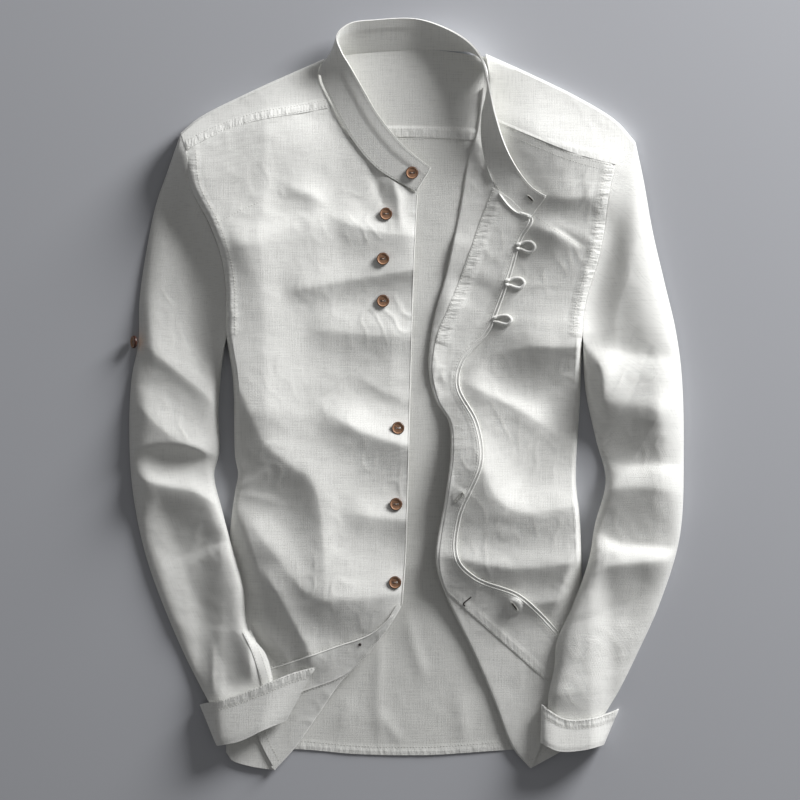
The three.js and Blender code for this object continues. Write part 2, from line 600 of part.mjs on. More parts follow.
// A turned-back cuff round a sleeve's end. Its upper layer lies on the sleeve and its lower layer under it. An
// open cuff isn't buttoned: the end of its upper layer runs on past the sleeve and lies on what is beside it.
function cuff(side, { top, bottom }, lift, open) {
  const [topRail, bottomRail] = [smoothCurve(top), smoothCurve(bottom)]
  const under = open ? RING_UNDER.filter((share) => share > CUFF_FLARE) : RING_UNDER
  const edgeHeight = open ? OPEN_CUFF_EDGE : CUFF_HEIGHT / 2
  const grid = CUFF_ROWS.map((down) => {
    const lip = down === 1 ? CUFF_LIP : 0
    const place = (share, height) => {
      const point = topRail.getPointAt(share).lerp(bottomRail.getPointAt(share), down)
      return onto(point, lift(point.x, point.y) + height)
    }
    const over = RING_TOP.slice(0, -1).map((share) => {
      const rise = open && share < 0.5 ? ramp(share, 0, CUFF_FLARE) : arch(share)
      return place(share, lerp(edgeHeight, CUFF_HEIGHT, rise) - lip)
    })
    return [...over, place(1, CUFF_HEIGHT / 2), ...under.map((share) => place(share, CUFF_CLEAR + lip))]
  })
  if (side === 'left') grid.forEach((ring) => ring.reverse())
  add(`cuff_${side}`, wall(grid, -BAND_WALL, 0, { closed: !open }), BAND_CLOTH)
}

// ---- Collar band --------------------------------------------------------------------------------

const BAND_SHARES = [0.03, 0.35, 0.68, 1] // rows across the band, the first just above its seam

function collar() {
  const line = (...columns) => new THREE.CatmullRomCurve3(
    COLLAR.map((row) => new THREE.Vector3(...columns.map((name) => row[name]))))
  const [seam, free] = [line('x', 'y', 'z'), line('topX', 'topY', 'topZ')]
  const steps = 2 * (COLLAR.length - 1)
  const grid = BAND_SHARES.map((up) => shares(steps).map((along) => (
    seam.getPoint(along).lerp(free.getPoint(along), up))))
  add('collar_band', wall(grid, -BAND_WALL / 2, BAND_WALL / 2), BAND_CLOTH)
}

// ---- Buttons and loops --------------------------------------------------------------------------

function buttonGeometry() {
  const { radius, thickness, rim, dish } = BUTTON
  const profile = [
    [0, 0], [radius - 1, 0], [radius, 1], [radius, thickness - rim], [radius - rim, thickness],
    [radius - 2, thickness - dish / 2], [0, thickness - dish]]
  return new THREE.LatheGeometry(profile.map(([x, y]) => new THREE.Vector2(x, y)), 20).rotateX(Math.PI / 2)
}

// The lowest height at which a button clears the cloth all round its rim.
function rest(x, y) {
  const rim = shares(8, 0, 2 * Math.PI).map((angle) => (
    bodyTop(x + BUTTON.radius * Math.cos(angle), y + BUTTON.radius * Math.sin(angle))))
  return Math.max(bodyTop(x, y), ...rim) + BUTTON_STAND
}

function buttons() {
  const places = table(['name', 'x', 'y'],
    ['chest_1', -14, 186], ['chest_2', -17, 141], ['chest_3', -17, 99],
    ['front_1', -2, -28], ['front_2', -4, -104], ['front_3', -5, -182])
  for (const { name, x, y } of places) {
    add(`button_${name}`, buttonGeometry(), WOOD).position.set(x, y, rest(x, y))
  }
  add('button_collar', buttonGeometry(), WOOD).position.set(12, 227, 8.6)
  const tab = add('button_tab', buttonGeometry(), WOOD)
  tab.position.set(-264.5, 58, 7.4)
  tab.rotation.y = -Math.PI * 0.37
}

// Cloth loops sewn under the strip's free edge, lying on the front's face.
function loops() {
  const places = table(['x', 'y', 'reach', 'spread'],
    [122, 152, 13, 4.2], [111, 116, 15, 4.2], [100, 79, 13, 4])
  places.forEach(({ x, y, reach, spread }, place) => {
    const height = BODY_RISE + LOOP.lift + LOOP.radius
    const route = [[0, spread], [reach * 0.55, spread], [reach, 0], [reach * 0.55, -spread], [0, -spread]]
    const path = new THREE.CatmullRomCurve3(
      route.map(([out, side]) => new THREE.Vector3(x + out, y + side - out * LOOP.droop, height)))
    const section = new THREE.Shape().absarc(0, 0, LOOP.radius, 0, 2 * Math.PI)
    const options = { steps: 10, extrudePath: path, bevelEnabled: false, curveSegments: 3 }
    add(`loop_${place + 1}`, new THREE.ExtrudeGeometry(section, options))
  })
}

frontRight()
frontLeft()
back()
yoke()
sleeve('right', SLEEVE_RIGHT, liftRight, SLEEVE_RIGHT_FOLDS)
sleeve('left', SLEEVE_LEFT, liftLeft, SLEEVE_LEFT_FOLDS)
cuff('right', CUFF_RIGHT, liftRight, true)
cuff('left', CUFF_LEFT, liftLeft, false)
collar()
buttons()
loops()

// The origin is under the middle of the shirt, on the surface.
const box = new THREE.Box3().setFromObject(shirt)
const middle = box.getCenter(new THREE.Vector3())
shirt.position.set(-middle.x, -middle.y, -box.min.z)

export default shirt
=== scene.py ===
# %% [markdown]
# # A band-collared shirt, laid on its back
#
# The shirt is pale cotton and linen. Its front is open, the right front's lower corner is folded up over
# itself, the left front's edge is turned back from neck to hem, and both cuffs are turned back. Every cut
# piece is made in the same way: a flat grid of cells is laid out between the lines the piece was cut to,
# and each corner of a cell is lifted to the height at which the cloth lies. A modifier then gives the grid
# the thickness of the cloth. Sizes are in millimetres, because that is how a shirt is cut.

# %% Load the frame
import json
import math

import bmesh
import bpy
import numpy as np
from mathutils import Matrix, Vector, noise
from mathutils.bvhtree import BVHTree

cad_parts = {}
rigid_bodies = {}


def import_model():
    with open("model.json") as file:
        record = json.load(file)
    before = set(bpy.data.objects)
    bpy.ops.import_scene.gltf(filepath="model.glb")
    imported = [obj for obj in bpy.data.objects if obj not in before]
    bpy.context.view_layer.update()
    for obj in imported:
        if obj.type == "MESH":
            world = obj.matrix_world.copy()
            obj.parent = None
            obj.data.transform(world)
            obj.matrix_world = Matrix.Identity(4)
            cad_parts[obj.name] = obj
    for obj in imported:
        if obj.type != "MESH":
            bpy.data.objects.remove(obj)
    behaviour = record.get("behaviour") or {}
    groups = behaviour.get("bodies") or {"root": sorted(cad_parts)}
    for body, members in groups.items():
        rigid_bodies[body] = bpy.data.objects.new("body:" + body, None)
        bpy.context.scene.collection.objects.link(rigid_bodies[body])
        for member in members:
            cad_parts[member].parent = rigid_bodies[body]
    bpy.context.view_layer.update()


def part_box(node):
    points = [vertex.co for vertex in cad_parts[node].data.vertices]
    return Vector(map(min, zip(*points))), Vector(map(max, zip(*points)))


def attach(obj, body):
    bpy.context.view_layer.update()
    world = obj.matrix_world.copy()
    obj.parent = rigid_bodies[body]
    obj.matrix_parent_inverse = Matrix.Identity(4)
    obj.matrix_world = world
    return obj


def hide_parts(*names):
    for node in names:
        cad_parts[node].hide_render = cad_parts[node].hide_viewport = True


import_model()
MM = 0.001

# %% [markdown]
# ## Where the shirt lies
#
# The tables below count from a point in the middle of the chest. One button tells where that point is in
# the model, so nothing has to be fitted by eye.

# %% Place of the tables' zero point
COLLAR_BUTTON = (12, 227)
low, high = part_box("button_collar")
ZERO = (low + high) / 2 - Vector((*COLLAR_BUTTON, 0)) * MM
ZERO.z = 0


def in_place(points):
    """Points of the tables, in millimetres, as places in the model, in metres."""
    return np.asarray(points, float) * MM + np.array(ZERO)


print("zero point:", [round(value, 5) for value in ZERO])

# %% [markdown]
# ## Lines, ramps and tables
#
# A pattern cutter draws each piece with a few points and a curved ruler. `smooth_line` is that ruler: a
# Catmull-Rom curve, which passes through all its points. `along` then walks the line by length, so cells
# come out even.

# %% Curved lines and even steps along them
EVEN = np.linspace


def smooth_line(points, steps=24):
    """A curve through the points, as a fine row of points."""
    rows = np.array(points, float)
    rows = np.vstack([2 * rows[0] - rows[1], rows, 2 * rows[-1] - rows[-2]])
    pieces = []
    share = np.linspace(0, 1, steps, endpoint=False)[:, None]
    for a, b, c, d in zip(rows, rows[1:], rows[2:], rows[3:]):
        gaps = [max(np.linalg.norm(end - start), 1e-6) ** 0.5 for start, end in ((a, b), (b, c), (c, d))]
        leave = gaps[1] * ((b - a) / gaps[0] - (c - a) / (gaps[0] + gaps[1]) + (c - b) / gaps[1])
        arrive = gaps[1] * ((c - b) / gaps[1] - (d - b) / (gaps[1] + gaps[2]) + (d - c) / gaps[2])
        square = 3 * (c - b) - 2 * leave - arrive
        cube = 2 * (b - c) + leave + arrive
        pieces.append(b + leave * share + square * share**2 + cube * share**3)
    return np.vstack([*pieces, rows[-2]])


def joined(*lines):
    """Lines end to end."""
    return np.vstack([lines[0], *(line[1:] for line in lines[1:])])


def length_of(line):
    return np.linalg.norm(np.diff(line, axis=0), axis=1).sum()


def along(line, shares):
    """Points at these shares of the line's length."""
    walked = np.append(0, np.cumsum(np.linalg.norm(np.diff(line, axis=0), axis=1)))
    wanted = np.asarray(shares, float) * walked[-1]
    return np.stack([np.interp(wanted, walked, column) for column in line.T], axis=-1)


def across_line(line, shares):
    """Points of a line and, at each, the direction to its left."""
    points = along(line, shares)
    ahead = np.gradient(points, axis=0)
    ahead /= np.linalg.norm(ahead, axis=1)[:, None]
    return points, np.stack([-ahead[:, 1], ahead[:, 0]], axis=1)


def patch(left, right, top, bottom, down, across):
    """Points in plan between four lines, for each share down and each share across."""
    d = np.asarray(down, float)[:, None, None]
    a = np.asarray(across, float)[None, :, None]
    sides = (1 - a) * along(left, down)[:, None] + a * along(right, down)[:, None]
    ends = (1 - d) * along(top, across)[None] + d * along(bottom, across)[None]
    corners = (1 - d) * ((1 - a) * left[0] + a * right[0]) + d * ((1 - a) * left[-1] + a * right[-1])
    return sides + ends - corners


def ramp(value, start, end):
    """0 before start and 1 after end, with a smooth step between them."""
    share = np.clip((np.asarray(value, float) - start) / (end - start), 0, 1)
    return share * share * (3 - 2 * share)


def look_up(line, y):
    """X of a line that runs down the shirt, at each y."""
    order = np.argsort(line[:, 1])
    return np.interp(y, line[order, 1], line[order, 0])


def table(columns, *rows):
    """Rows of numbers as dictionaries with named columns."""
    return [dict(zip(columns.split(), row)) for row in rows]


# %% [markdown]
# ## The cut of the body
#
# Right and left are the wearer's. Each front runs from its armhole and side seam to its edge, and from the
# yoke seam to the hem. The yoke wraps over both shoulders.

# %% Lines of the body
SIDE_RIGHT = smooth_line([
    (-213, 249), (-208, 211), (-190, 175), (-179, 144), (-174, 114), (-173, 61), (-167, 20),
    (-165, -56), (-162, -74), (-165, -92), (-170, -131), (-172, -200), (-174, -280), (-174, -352)])
SIDE_LEFT = smooth_line([
    (215, 235), (208, 201), (204, 169), (199, 144), (187, 103), (183, 82), (182, 62), (180, 1),
    (176, -80), (180, -120), (182, -180), (184, -250), (185, -338)])
SHOULDER_RIGHT = smooth_line([(-219, 267), (-201, 282), (-154, 306), (-108, 327), (-76, 341)])
SHOULDER_LEFT = smooth_line([(235, 258), (216, 279), (179, 302), (128, 327), (86, 346)])
YOKE_SEAM_RIGHT = smooth_line([(-213, 249), (-189, 262), (-145, 278), (-101, 286), (-67, 293)])
YOKE_SEAM_LEFT = smooth_line([(215, 235), (177, 245), (134, 262), (93, 280)])
YOKE_BACK_SEAM = smooth_line([(-213, 249), (-120, 259), (0, 263), (120, 255), (215, 235)])
NECKLINE = smooth_line([(-74, 338), (-55, 345), (-25, 349), (33, 350), (66, 346), (84, 343)])
BACK_HEM = smooth_line([
    (-174, -352), (-106, -349), (-43, -354), (25, -355), (90, -351), (150, -346), (185, -338)])

NECK_RIGHT = smooth_line([
    (-67, 293), (-61, 277), (-48, 259), (-36, 245), (-22, 230), (0, 215), (17, 207)])
EDGE_RIGHT = smooth_line([(17, 207), (13, 123), (10, 20), (5, -160), (1.5, -206)])
HEM_RIGHT = smooth_line([(-174, -352), (-168, -360), (-150, -366), (-125, -370)])
CORNER_FOLD = smooth_line([
    (-125, -370), (-106, -349), (-82, -315), (-60, -283), (-35, -257), (-12, -228), (1.5, -206)])
CORNER_EDGE = smooth_line([
    (-125, -370), (-142, -335), (-150, -290), (-143, -272), (-109, -261), (-66, -246), (-28, -232),
    (-4, -211)])

FOLD_LEFT = smooth_line([
    (82, 312), (77, 270), (68, 238), (60, 191), (46, 125), (33, 76), (29, 30), (36, -1), (49, -22),
    (51, -50), (46, -93), (36, -159), (45, -192), (75, -255), (95, -302), (113, -347), (131, -368)])
STRIP_EDGE = smooth_line([
    (89, 308), (83, 283), (85, 249), (95, 213), (113, 191), (132, 181), (121, 160), (111, 127),
    (99, 93), (89, 69), (63, 38), (59, 14), (77, -22), (82, -62), (60, -118), (58, -158), (76, -177),
    (120, -195), (158, -232), (176, -256)])
STRIP_HEM = smooth_line([(131, -368), (142, -363), (160, -345), (172, -310), (176, -256)])
HEM_LEFT = smooth_line([(185, -338), (160, -352), (131, -368)])
NECK_LEFT = smooth_line([(93, 280), (86, 286), (82, 298), (82, 312)])
YOKE_NECK_RIGHT = smooth_line([(-76, 341), (-81, 331), (-81, 320), (-75.5, 307), (-67.5, 293)])
YOKE_NECK_LEFT = smooth_line([(86, 346), (90, 320), (93.5, 280)])
print(f"side seams: {length_of(SIDE_RIGHT):.0f} and {length_of(SIDE_LEFT):.0f} mm")

# %% [markdown]
# ## The lines of the sleeves
#
# A sleeve is a tube pressed flat, so two edges in plan and the armhole that it is sewn into say where it
# lies. Its height over the surface changes a little on the way to the cuff.

# %% Lines of the sleeves and cuffs
SLEEVES = {
    "right": {
        "outer": smooth_line([
            (-220, 267), (-232, 232), (-245, 194), (-255, 144), (-261, 100), (-262, 58), (-269, 20),
            (-271, -40), (-267, -95), (-253, -160), (-220, -245), (-193, -298), (-182, -317),
            (-172, -334)]),
        "inner": smooth_line([
            (-174, 61), (-178, 39), (-182, -13), (-181, -52), (-186, -75), (-178, -110), (-170, -140),
            (-157, -186), (-152, -229), (-134, -254), (-127, -278), (-122, -310)]),
        "armhole": smooth_line([
            (-219.2, 267), (-213.2, 249), (-208.2, 211), (-190.3, 174.8), (-179.3, 144), (-174.2, 114),
            (-173.4, 61)]),
    },
    "left": {
        "outer": smooth_line([
            (236, 258), (244, 220), (253, 169), (265, 117), (276, 70), (282, 25), (284, -48),
            (280, -136), (260, -203), (238, -252), (218, -292), (204, -315), (194, -336)]),
        "inner": smooth_line([
            (183, 62), (186, 10), (196, -38), (206, -80), (195, -125), (189, -159), (172, -207),
            (157, -240), (154, -267), (148, -298), (148, -332)]),
        "armhole": smooth_line([
            (235.4, 258), (215.3, 235), (208.2, 201), (204.2, 169), (199.2, 144), (187.2, 103), (183.2, 82),
            (182.3, 62)]),
    },
}
SLEEVE_HEIGHT = {
    "right": np.array([(0, 6), (0.15, 8.5), (0.3, 10), (0.6, 11), (0.8, 9.5), (0.92, 5.5), (1, 5)]),
    "left": np.array([
        (0, 6), (0.15, 8.5), (0.3, 11), (0.42, 21), (0.58, 21), (0.74, 11), (0.85, 9), (0.92, 5.5), (1, 5)]),
}
CUFFS = {
    "right": {
        "top": smooth_line([(-84, -266), (-109, -273), (-139, -285), (-174, -298), (-199, -304)]),
        "bottom": smooth_line([(-114, -320), (-134, -328), (-159, -340), (-182, -345)]),
    },
    "left": {
        "top": smooth_line([(219, -309), (192, -317), (166, -318), (141, -304)]),
        "bottom": smooth_line([(204, -344), (183, -349), (158, -350), (140, -342)]),
    },
}
for side, rails in SLEEVES.items():
    print(f"{side} sleeve: {length_of(rails['outer']):.0f} mm along its outer edge")

# %% [markdown]
# ## Folds
#
# Laid cloth is never flat. Each row is one soft ridge, or a trough where its rise is under 0. Its `route` is
# the line of its crest in plan, through points given one by one. `left` and `right` are its widths on either
# side, so that a fold can be steep on one side and long on the other. Two numbers for a width are those at
# its start and its end. Linen holds broad folds with sharp ends, so few of them are alike.
#
# These folds are higher than those of the plain solids that this script dresses. Seen from above, height is
# known only by light and shade, so the rises are a judgement.

# %% Folds of the fronts and sleeves
FOLD = "rise left right route"
BODY_FOLDS = table(
    FOLD,
    (19.6, (80, 36), (30, 34), [
        (-224, 288), (-219, 250), (-208, 213), (-192, 180), (-180, 146), (-173, 108), (-171, 65),
        (-164, 25), (-152, -8), (-138, -38), (-112, -63), (-91, -76), (-81, -100), (-77, -135),
        (-75, -180), (-78, -240)]),
    (7, 44, 30, [(-144, 185), (-138, 140), (-136, 100), (-135, 50), (-132, 0), (-134, -40)]),
    (2.8, 12, 30, [(-137, 295), (-135, 250), (-137, 200), (-142, 160)]),
    (7, 26, 44, [(-182, 145), (-138, 161), (-110, 171), (-60, 180)]),
    (4.2, 12, 12, [(-126, 216), (-92, 206), (-64, 186)]),
    (6.4, 20, 13, [(-120, 106), (-55, 119), (40, 134)]),
    (8.4, 16, 30, [(-84, 190), (-35, 170), (40, 161)]),
    (4.8, 20, 16, [(-98, 72), (-40, 66), (40, 62)]),
    (12.6, 20, 24, [(-95, 0), (-50, -26), (-28, -36), (50, -56)]),
    (1.3, 8, 8, [(-50, 28), (-20, 10), (25, -8)]),
    (3.1, 14, 48, [(-6, 100), (-9, 50), (-11, -5)]),
    (2.8, 5, 7, [(-174, -94), (-148, -80), (-126, -64)]),
    (1.7, 5, 6, [(-174, -92), (-138, -98), (-110, -108)]),
    (7, 16, 26, [(-62, -110), (-22, -118), (40, -124)]),
    (16, 29, 64, [
        (-172, -85), (-142, -134), (-121, -160), (-103, -183), (-82, -199), (-38, -199), (50, -185)]),
    (5.6, 14, 12, [(-142, -160), (-112, -212), (-92, -250), (-86, -280)]),
    (-2.8, 5, 5, [(-32, 242), (-23, 215), (-14, 188)]),
    (4.2, 6, 8, [(-12, 240), (-3, 205), (2, 160)]),
    (16.4, 36, 60, [(-270, 220), (-213, 248), (-185, 261), (-140, 277), (-65, 298)]),
    (20, 40, 60, [(54, 290), (101, 275), (138, 261), (177, 245), (280, 214)]),
    (12.6, 26, 30, [(115, 208), (175, 201), (240, 212)]),
    (7, 14, 18, [(116, 176), (148, 169), (180, 154)]),
    (-2.2, 4, 3, [(145, 178), (168, 164), (192, 147)]),
    (8.4, 13, 70, [(200, 185), (183, 115), (174, 40)]),
    (18.2, 24, 30, [(78, 44), (130, 53), (160, 52), (240, 58)]),
    (9.8, 14, 38, [(46, 26), (100, -1), (128, -16), (162, -41)]),
    (21, 30, 58, [
        (60, 8), (74, -30), (82, -66), (91, -91), (106, -107), (125, -113), (150, -111), (250, -90)]),
    (11.2, 20, 28, [(20, -150), (100, -167), (145, -166), (240, -152)]),
    (-8.4, 12, 36, [(102, 120), (82, 80), (68, 52), (60, 28), (64, 0)]),
    (3.4, 8, 30, [(49, -60), (37, -110), (36, -155), (46, -200)]),
    (5.6, 8, 40, [(34, 5), (32, 38), (36, 60), (44, 90), (56, 125)]),
    (-9.8, 26, 20, [(84, 340), (74, 260), (68, 220), (61, 185), (53, 150)]),
    (5.6, 14, 14, [(90, -194), (140, -203), (200, -186)]),
)
SLEEVE_FOLDS = {
    "right": table(
        FOLD,
        (7, 24, 17, [(-295, 82), (-265, 61), (-240, 43), (-215, 23), (-192, 4), (-168, -24)]),
        (5, 22, 14, [(-295, 28), (-274, 8), (-250, -17), (-230, -35), (-210, -46), (-185, -58)]),
        (9.2, 36, 7, [(-320, -72), (-255, -46), (-225, -44), (-200, -49), (-130, -80)]),
        (10.3, 13, 32, [(-315, -30), (-288, -55), (-255, -80), (-230, -87), (-205, -92), (-150, -128)]),
        (-5.8, 20, 6, [(-240, -166), (-220, -156), (-190, -145), (-125, -124)]),
        (-8, 20, 19, [(-244, -85), (-210, -180), (-193, -220), (-160, -310)]),
        (5.8, 7, 14, [(-168, -110), (-154, -200), (-148, -290)]),
        (2.3, 5, 3, [(-187, -230), (-187, -305)]),
        (-1.5, 24, 18, [(-222, 220), (-214, 150), (-206, 70)]),
        (2, 14, 8, [(-242, 230), (-250, 130), (-252, 55)]),
    ),
    "left": table(
        FOLD,
        (15, 12, 62, [(214, 310), (243, 205), (255, 150), (267, 95), (290, 0)]),
        (-7, 26, 12, [(170, 60), (205, 53), (250, 45), (330, 45)]),
        (13, 36, 34, [(145, 34), (175, 22), (203, -2), (230, -5), (320, -16)]),
        (-7, 30, 8, [(150, -52), (180, -56), (225, -62), (320, -64)]),
        (7, 16, 24, [(155, -98), (185, -94), (230, -87), (310, -98)]),
        (-9, 26, 7, [(145, -108), (175, -122), (220, -141), (250, -145), (340, -149)]),
        (9, 14, 24, [(185, -174), (210, -166), (240, -162), (265, -161), (340, -174)]),
        (12, 26, 9, [(125, 130), (145, 102), (172, 72), (192, 48), (202, 25), (200, -30)]),
        (4.5, 22, 20, [(248, 8), (262, -25), (264, -62), (255, -100)]),
        (-3, 20, 18, [(246, -156), (240, -185), (230, -212), (218, -240)]),
        (6, 34, 10, [(180, -185), (174, -208), (162, -248), (152, -340)]),
        (4, 22, 12, [(196, -130), (196, -175), (188, -222)]),
    ),
}
FOLD_END = 30  # length over which a low fold fades out at each end
FADE_PER_RISE = 4.5  # a high fold fades over this many times its rise
FADE_MOST = 0.45  # and never over more than this share of its length
FOLD_REACH = 3  # widths beyond which a fold adds nothing
CREST = 1.45  # under 2, the crest is sharper than a bell curve's
print(f"folds: {len(BODY_FOLDS)} on the fronts, {sum(map(len, SLEEVE_FOLDS.values()))} on the sleeves")


def beside(line, x, y):
    """For each point, how far it is to the left of a line, and how far along the line that is."""
    nearest = np.full(x.shape, np.inf)
    off = np.zeros_like(x)
    come = np.zeros_like(x)
    walked = 0
    for start, end in zip(line, line[1:]):
        run = end - start
        length = np.hypot(*run)
        share = np.clip(((x - start[0]) * run[0] + (y - start[1]) * run[1]) / length**2, 0, 1)
        away = np.hypot(x - start[0] - share * run[0], y - start[1] - share * run[1])
        side = np.sign((y - start[1]) * run[0] - (x - start[0]) * run[1])
        closer = away < nearest
        nearest = np.where(closer, away, nearest)
        off = np.where(closer, away * side, off)
        come = np.where(closer, walked + share * length, come)
        walked += length
    return off, come


def relief(folds, x, y):
    """Height that the folds add at each point, in millimetres."""
    height = np.zeros_like(x)
    for fold in folds:
        line = smooth_line(fold["route"], 4)
        margin = FOLD_REACH * max(np.max(fold["left"]), np.max(fold["right"]))
        low, high = line.min(axis=0) - margin, line.max(axis=0) + margin
        near = (x > low[0]) & (x < high[0]) & (y > low[1]) & (y < high[1])
        if not near.any():
            continue
        off, come = beside(line, x[near], y[near])
        whole = length_of(line)
        left = np.interp(come, [0, whole], np.broadcast_to(fold["left"], 2))
        right = np.interp(come, [0, whole], np.broadcast_to(fold["right"], 2))
        fade = min(max(FOLD_END, FADE_PER_RISE * abs(fold["rise"])), whole * FADE_MOST)
        taper = ramp(come, 0, fade) * ramp(whole - come, 0, fade)
        width = np.where(off > 0, left, right)
        height[near] += fold["rise"] * taper * np.exp(-(np.abs(off / width) ** CREST))
    return height


def settle(height, room):
    """The same height, but a trough never sinks further than there is room for."""
    return np.where(height < 0, room * (np.exp(np.minimum(height, 0) / room) - 1), height)


# %% [markdown]
# ## Crumple
#
# Between the folds, washed linen is a little crumpled: low swells a hand wide, and finer puckers that come
# in patches. Noise gives both. It is the same noise on each run, because nothing in it is random.

# %% Crumple of the cloth
CRUMPLE = {"right": 0, "left": 11, "back": 3, "yoke": 5, "right_sleeve": 23, "left_sleeve": 29}
SWELL = (46, 38)
PUCKER = (13, 10)
PATCH = 55
CREASE = (17, 23)


def crumple(x, y, place=0.0, strength=1.0):
    """Small unevenness at each point, in millimetres."""
    heights = np.empty(x.size)
    for number, (east, north) in enumerate(zip(x.ravel(), y.ravel())):
        swell = noise.noise(Vector((east / SWELL[0], north / SWELL[1], place)))
        pucker = noise.noise(Vector((east / PUCKER[0], north / PUCKER[1], place + 7)))
        patchy = max(0.0, noise.noise(Vector((east / PATCH, north / PATCH, place + 19))) + 0.15)
        crease = 1 - abs(noise.noise(Vector((east / CREASE[0], north / CREASE[1], place + 31)))) * 5
        heights[number] = 0.8 * swell + 0.3 * pucker + 1.0 * patchy * max(0.0, crease)
    return strength * heights.reshape(x.shape)


# %% [markdown]
# ## Height of the fronts
#
# The fronts lie on the back panel with some air between, nearly 4 mm up, and the folds rise from there. Where
# the sleeves lie on them, they are pressed even, so that the folds don't poke through.

# %% Height of the fronts
CLOTH = 0.65  # thickness, with the air in the weave
BODY_RISE = 3.8
TROUGH = 2.2  # the most that a trough sinks
ARM_HOLE_END = 61
SIDE_ROLL = (ARM_HOLE_END + 6, ARM_HOLE_END - 14)
COVERED_BELOW = {"right": -125, "left": -172}
BESIDE_SLEEVE = 20


def open_to_view(x, y):
    """1 where a front shows, and 0 where a sleeve lies on it."""
    shown = {}
    for side, inward in (("right", 1), ("left", -1)):
        arm = look_up(SLEEVES[side]["inner"], y)
        under = ramp(y, COVERED_BELOW[side] + 30, COVERED_BELOW[side])
        shown[side] = 1 - under * (1 - ramp(x, arm, arm + inward * BESIDE_SLEEVE))
    return np.where(x < 25, shown["right"], shown["left"])


def body_top(x, y):
    """Height of a front's face, folds only."""
    return BODY_RISE + settle(relief(BODY_FOLDS, x, y) * open_to_view(x, y), TROUGH)


def front_face(side):
    """A function that tells the height of a front's face, with its crumple."""
    return lambda x, y: body_top(x, y) + crumple(x, y, CRUMPLE[side]) * open_to_view(x, y)


def at_height(plan, height):
    """Points in plan, each with its height."""
    return np.concatenate([plan, height[..., None]], axis=-1)


print(f"the fold at the chest's middle rises to {body_top(np.array([-95.0]), np.array([0.0]))[0]:.1f} mm")

# %% [markdown]
# ## From a grid of points to a piece of cloth
#
# `bmesh.ops.create_grid` makes a flat net with as many cells as the piece needs. Each corner knows its row
# and column from where it lies in that net, so it can be moved to its own point. Ribbons and tubes are the
# same net with some cells deleted or two edges welded. The UV map holds the cloth's own millimetres as
# metres, so that the weave follows the grain and never swims.

# %% Nets of cloth
SHARP = math.radians(55)  # edges that turn more than this aren't smoothed
CORD_TIP = 0.01  # radius that closes a cord's ends


def placed(name, shaped, smooth=True):
    """A finished shape as an object in the scene."""
    mesh = bpy.data.meshes.new(name)
    shaped.to_mesh(mesh)
    shaped.free()
    for polygon in mesh.polygons:
        polygon.use_smooth = smooth
    piece = bpy.data.objects.new(name, mesh)
    bpy.context.collection.objects.link(piece)
    return piece


def settled_mesh(piece):
    """The piece's mesh with its modifiers applied, in place of the one that they worked on."""
    finished = bpy.data.meshes.new_from_object(piece.evaluated_get(bpy.context.evaluated_depsgraph_get()))
    piece.modifiers.clear()
    piece.data = finished
    finished.name = piece.name
    return finished


def net(name, points, grain=None, keep=None, closed=False, thickness=CLOTH):
    """A piece of cloth through a grid of points: rows down it and columns to the right of its face."""
    rows, columns = points.shape[0] - 1, points.shape[1] - 1
    grain = points[..., :2] if grain is None else grain
    shaped = bmesh.new()
    bmesh.ops.create_grid(shaped, x_segments=columns, y_segments=rows, size=0.5)
    place = {}
    for vertex in shaped.verts:
        place[vertex.index] = (round((0.5 - vertex.co.y) * rows), round((vertex.co.x + 0.5) * columns))
    weave = shaped.loops.layers.uv.new("weave")
    spare = []
    for face in shaped.faces:
        corners = [place[vertex.index] for vertex in face.verts]
        if keep is not None and not keep(min(row for row, _ in corners), min(col for _, col in corners)):
            spare.append(face)
            continue
        for loop, corner in zip(face.loops, corners):
            loop[weave].uv = grain[corner] * MM
    positions = in_place(points)
    for vertex in shaped.verts:
        vertex.co = positions[place[vertex.index]]
    bmesh.ops.delete(shaped, geom=spare, context="FACES")
    if closed:
        bmesh.ops.remove_doubles(shaped, verts=shaped.verts, dist=1e-6)
    piece = placed(name, shaped, smooth=False)
    if thickness:
        wall = piece.modifiers.new("thickness", "SOLIDIFY")
        wall.thickness = thickness * MM
        wall.offset = -1
    finished = settled_mesh(piece)
    for vertex in finished.vertices:
        vertex.co.z = max(vertex.co.z, 0)
    for polygon in finished.polygons:
        polygon.use_smooth = True
    finished.set_sharp_from_angle(angle=SHARP)
    face = sum(polygon.area for polygon in finished.polygons) / (2 if thickness else 1)
    print(f"{name}: {rows} by {columns} cells, {face:.4f} square metres of cloth")
    return piece


def cord_along(name, path, radius, sides=10):
    """A round cord along a path in space."""
    ahead = np.gradient(path, axis=0)
    ahead /= np.linalg.norm(ahead, axis=1)[:, None]
    side = np.cross(ahead, (0, 0, 1))
    side /= np.linalg.norm(side, axis=1)[:, None]
    up = np.cross(side, ahead)
    turn = EVEN(0, 2 * math.pi, sides + 1)[None, :, None]
    full = np.full(len(path), radius)
    full[[0, -1]] = CORD_TIP
    out = np.cos(turn) * side[:, None] + np.sin(turn) * up[:, None]
    points = path[:, None] + full[:, None, None] * out
    run = np.append(0, np.cumsum(np.linalg.norm(np.diff(path, axis=0), axis=1)))
    grain = np.stack(np.broadcast_arrays(turn[..., 0] * radius, run[:, None]), axis=-1)
    return net(name, points, grain, closed=True, thickness=0)


def dress(piece, material, slot, *nodes):
    """Gives a piece its finish, lets it ride on the shirt, and hides the solids that it stands for."""
    piece.data.materials.clear()
    piece.data.materials.append(material)
    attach(piece, "root")
    if nodes:
        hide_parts(*nodes)


# %% [markdown]
# ## The cloth's finish
#
# Cotton and linen in plain weave: off-white, matt, with slubs where a thread was spun thicker. Two waves at
# right angles make the threads, and long stretched noise makes the slubs. Both read the UV map, so they
# run along the grain of each piece. A little sheen is set on the shader itself.

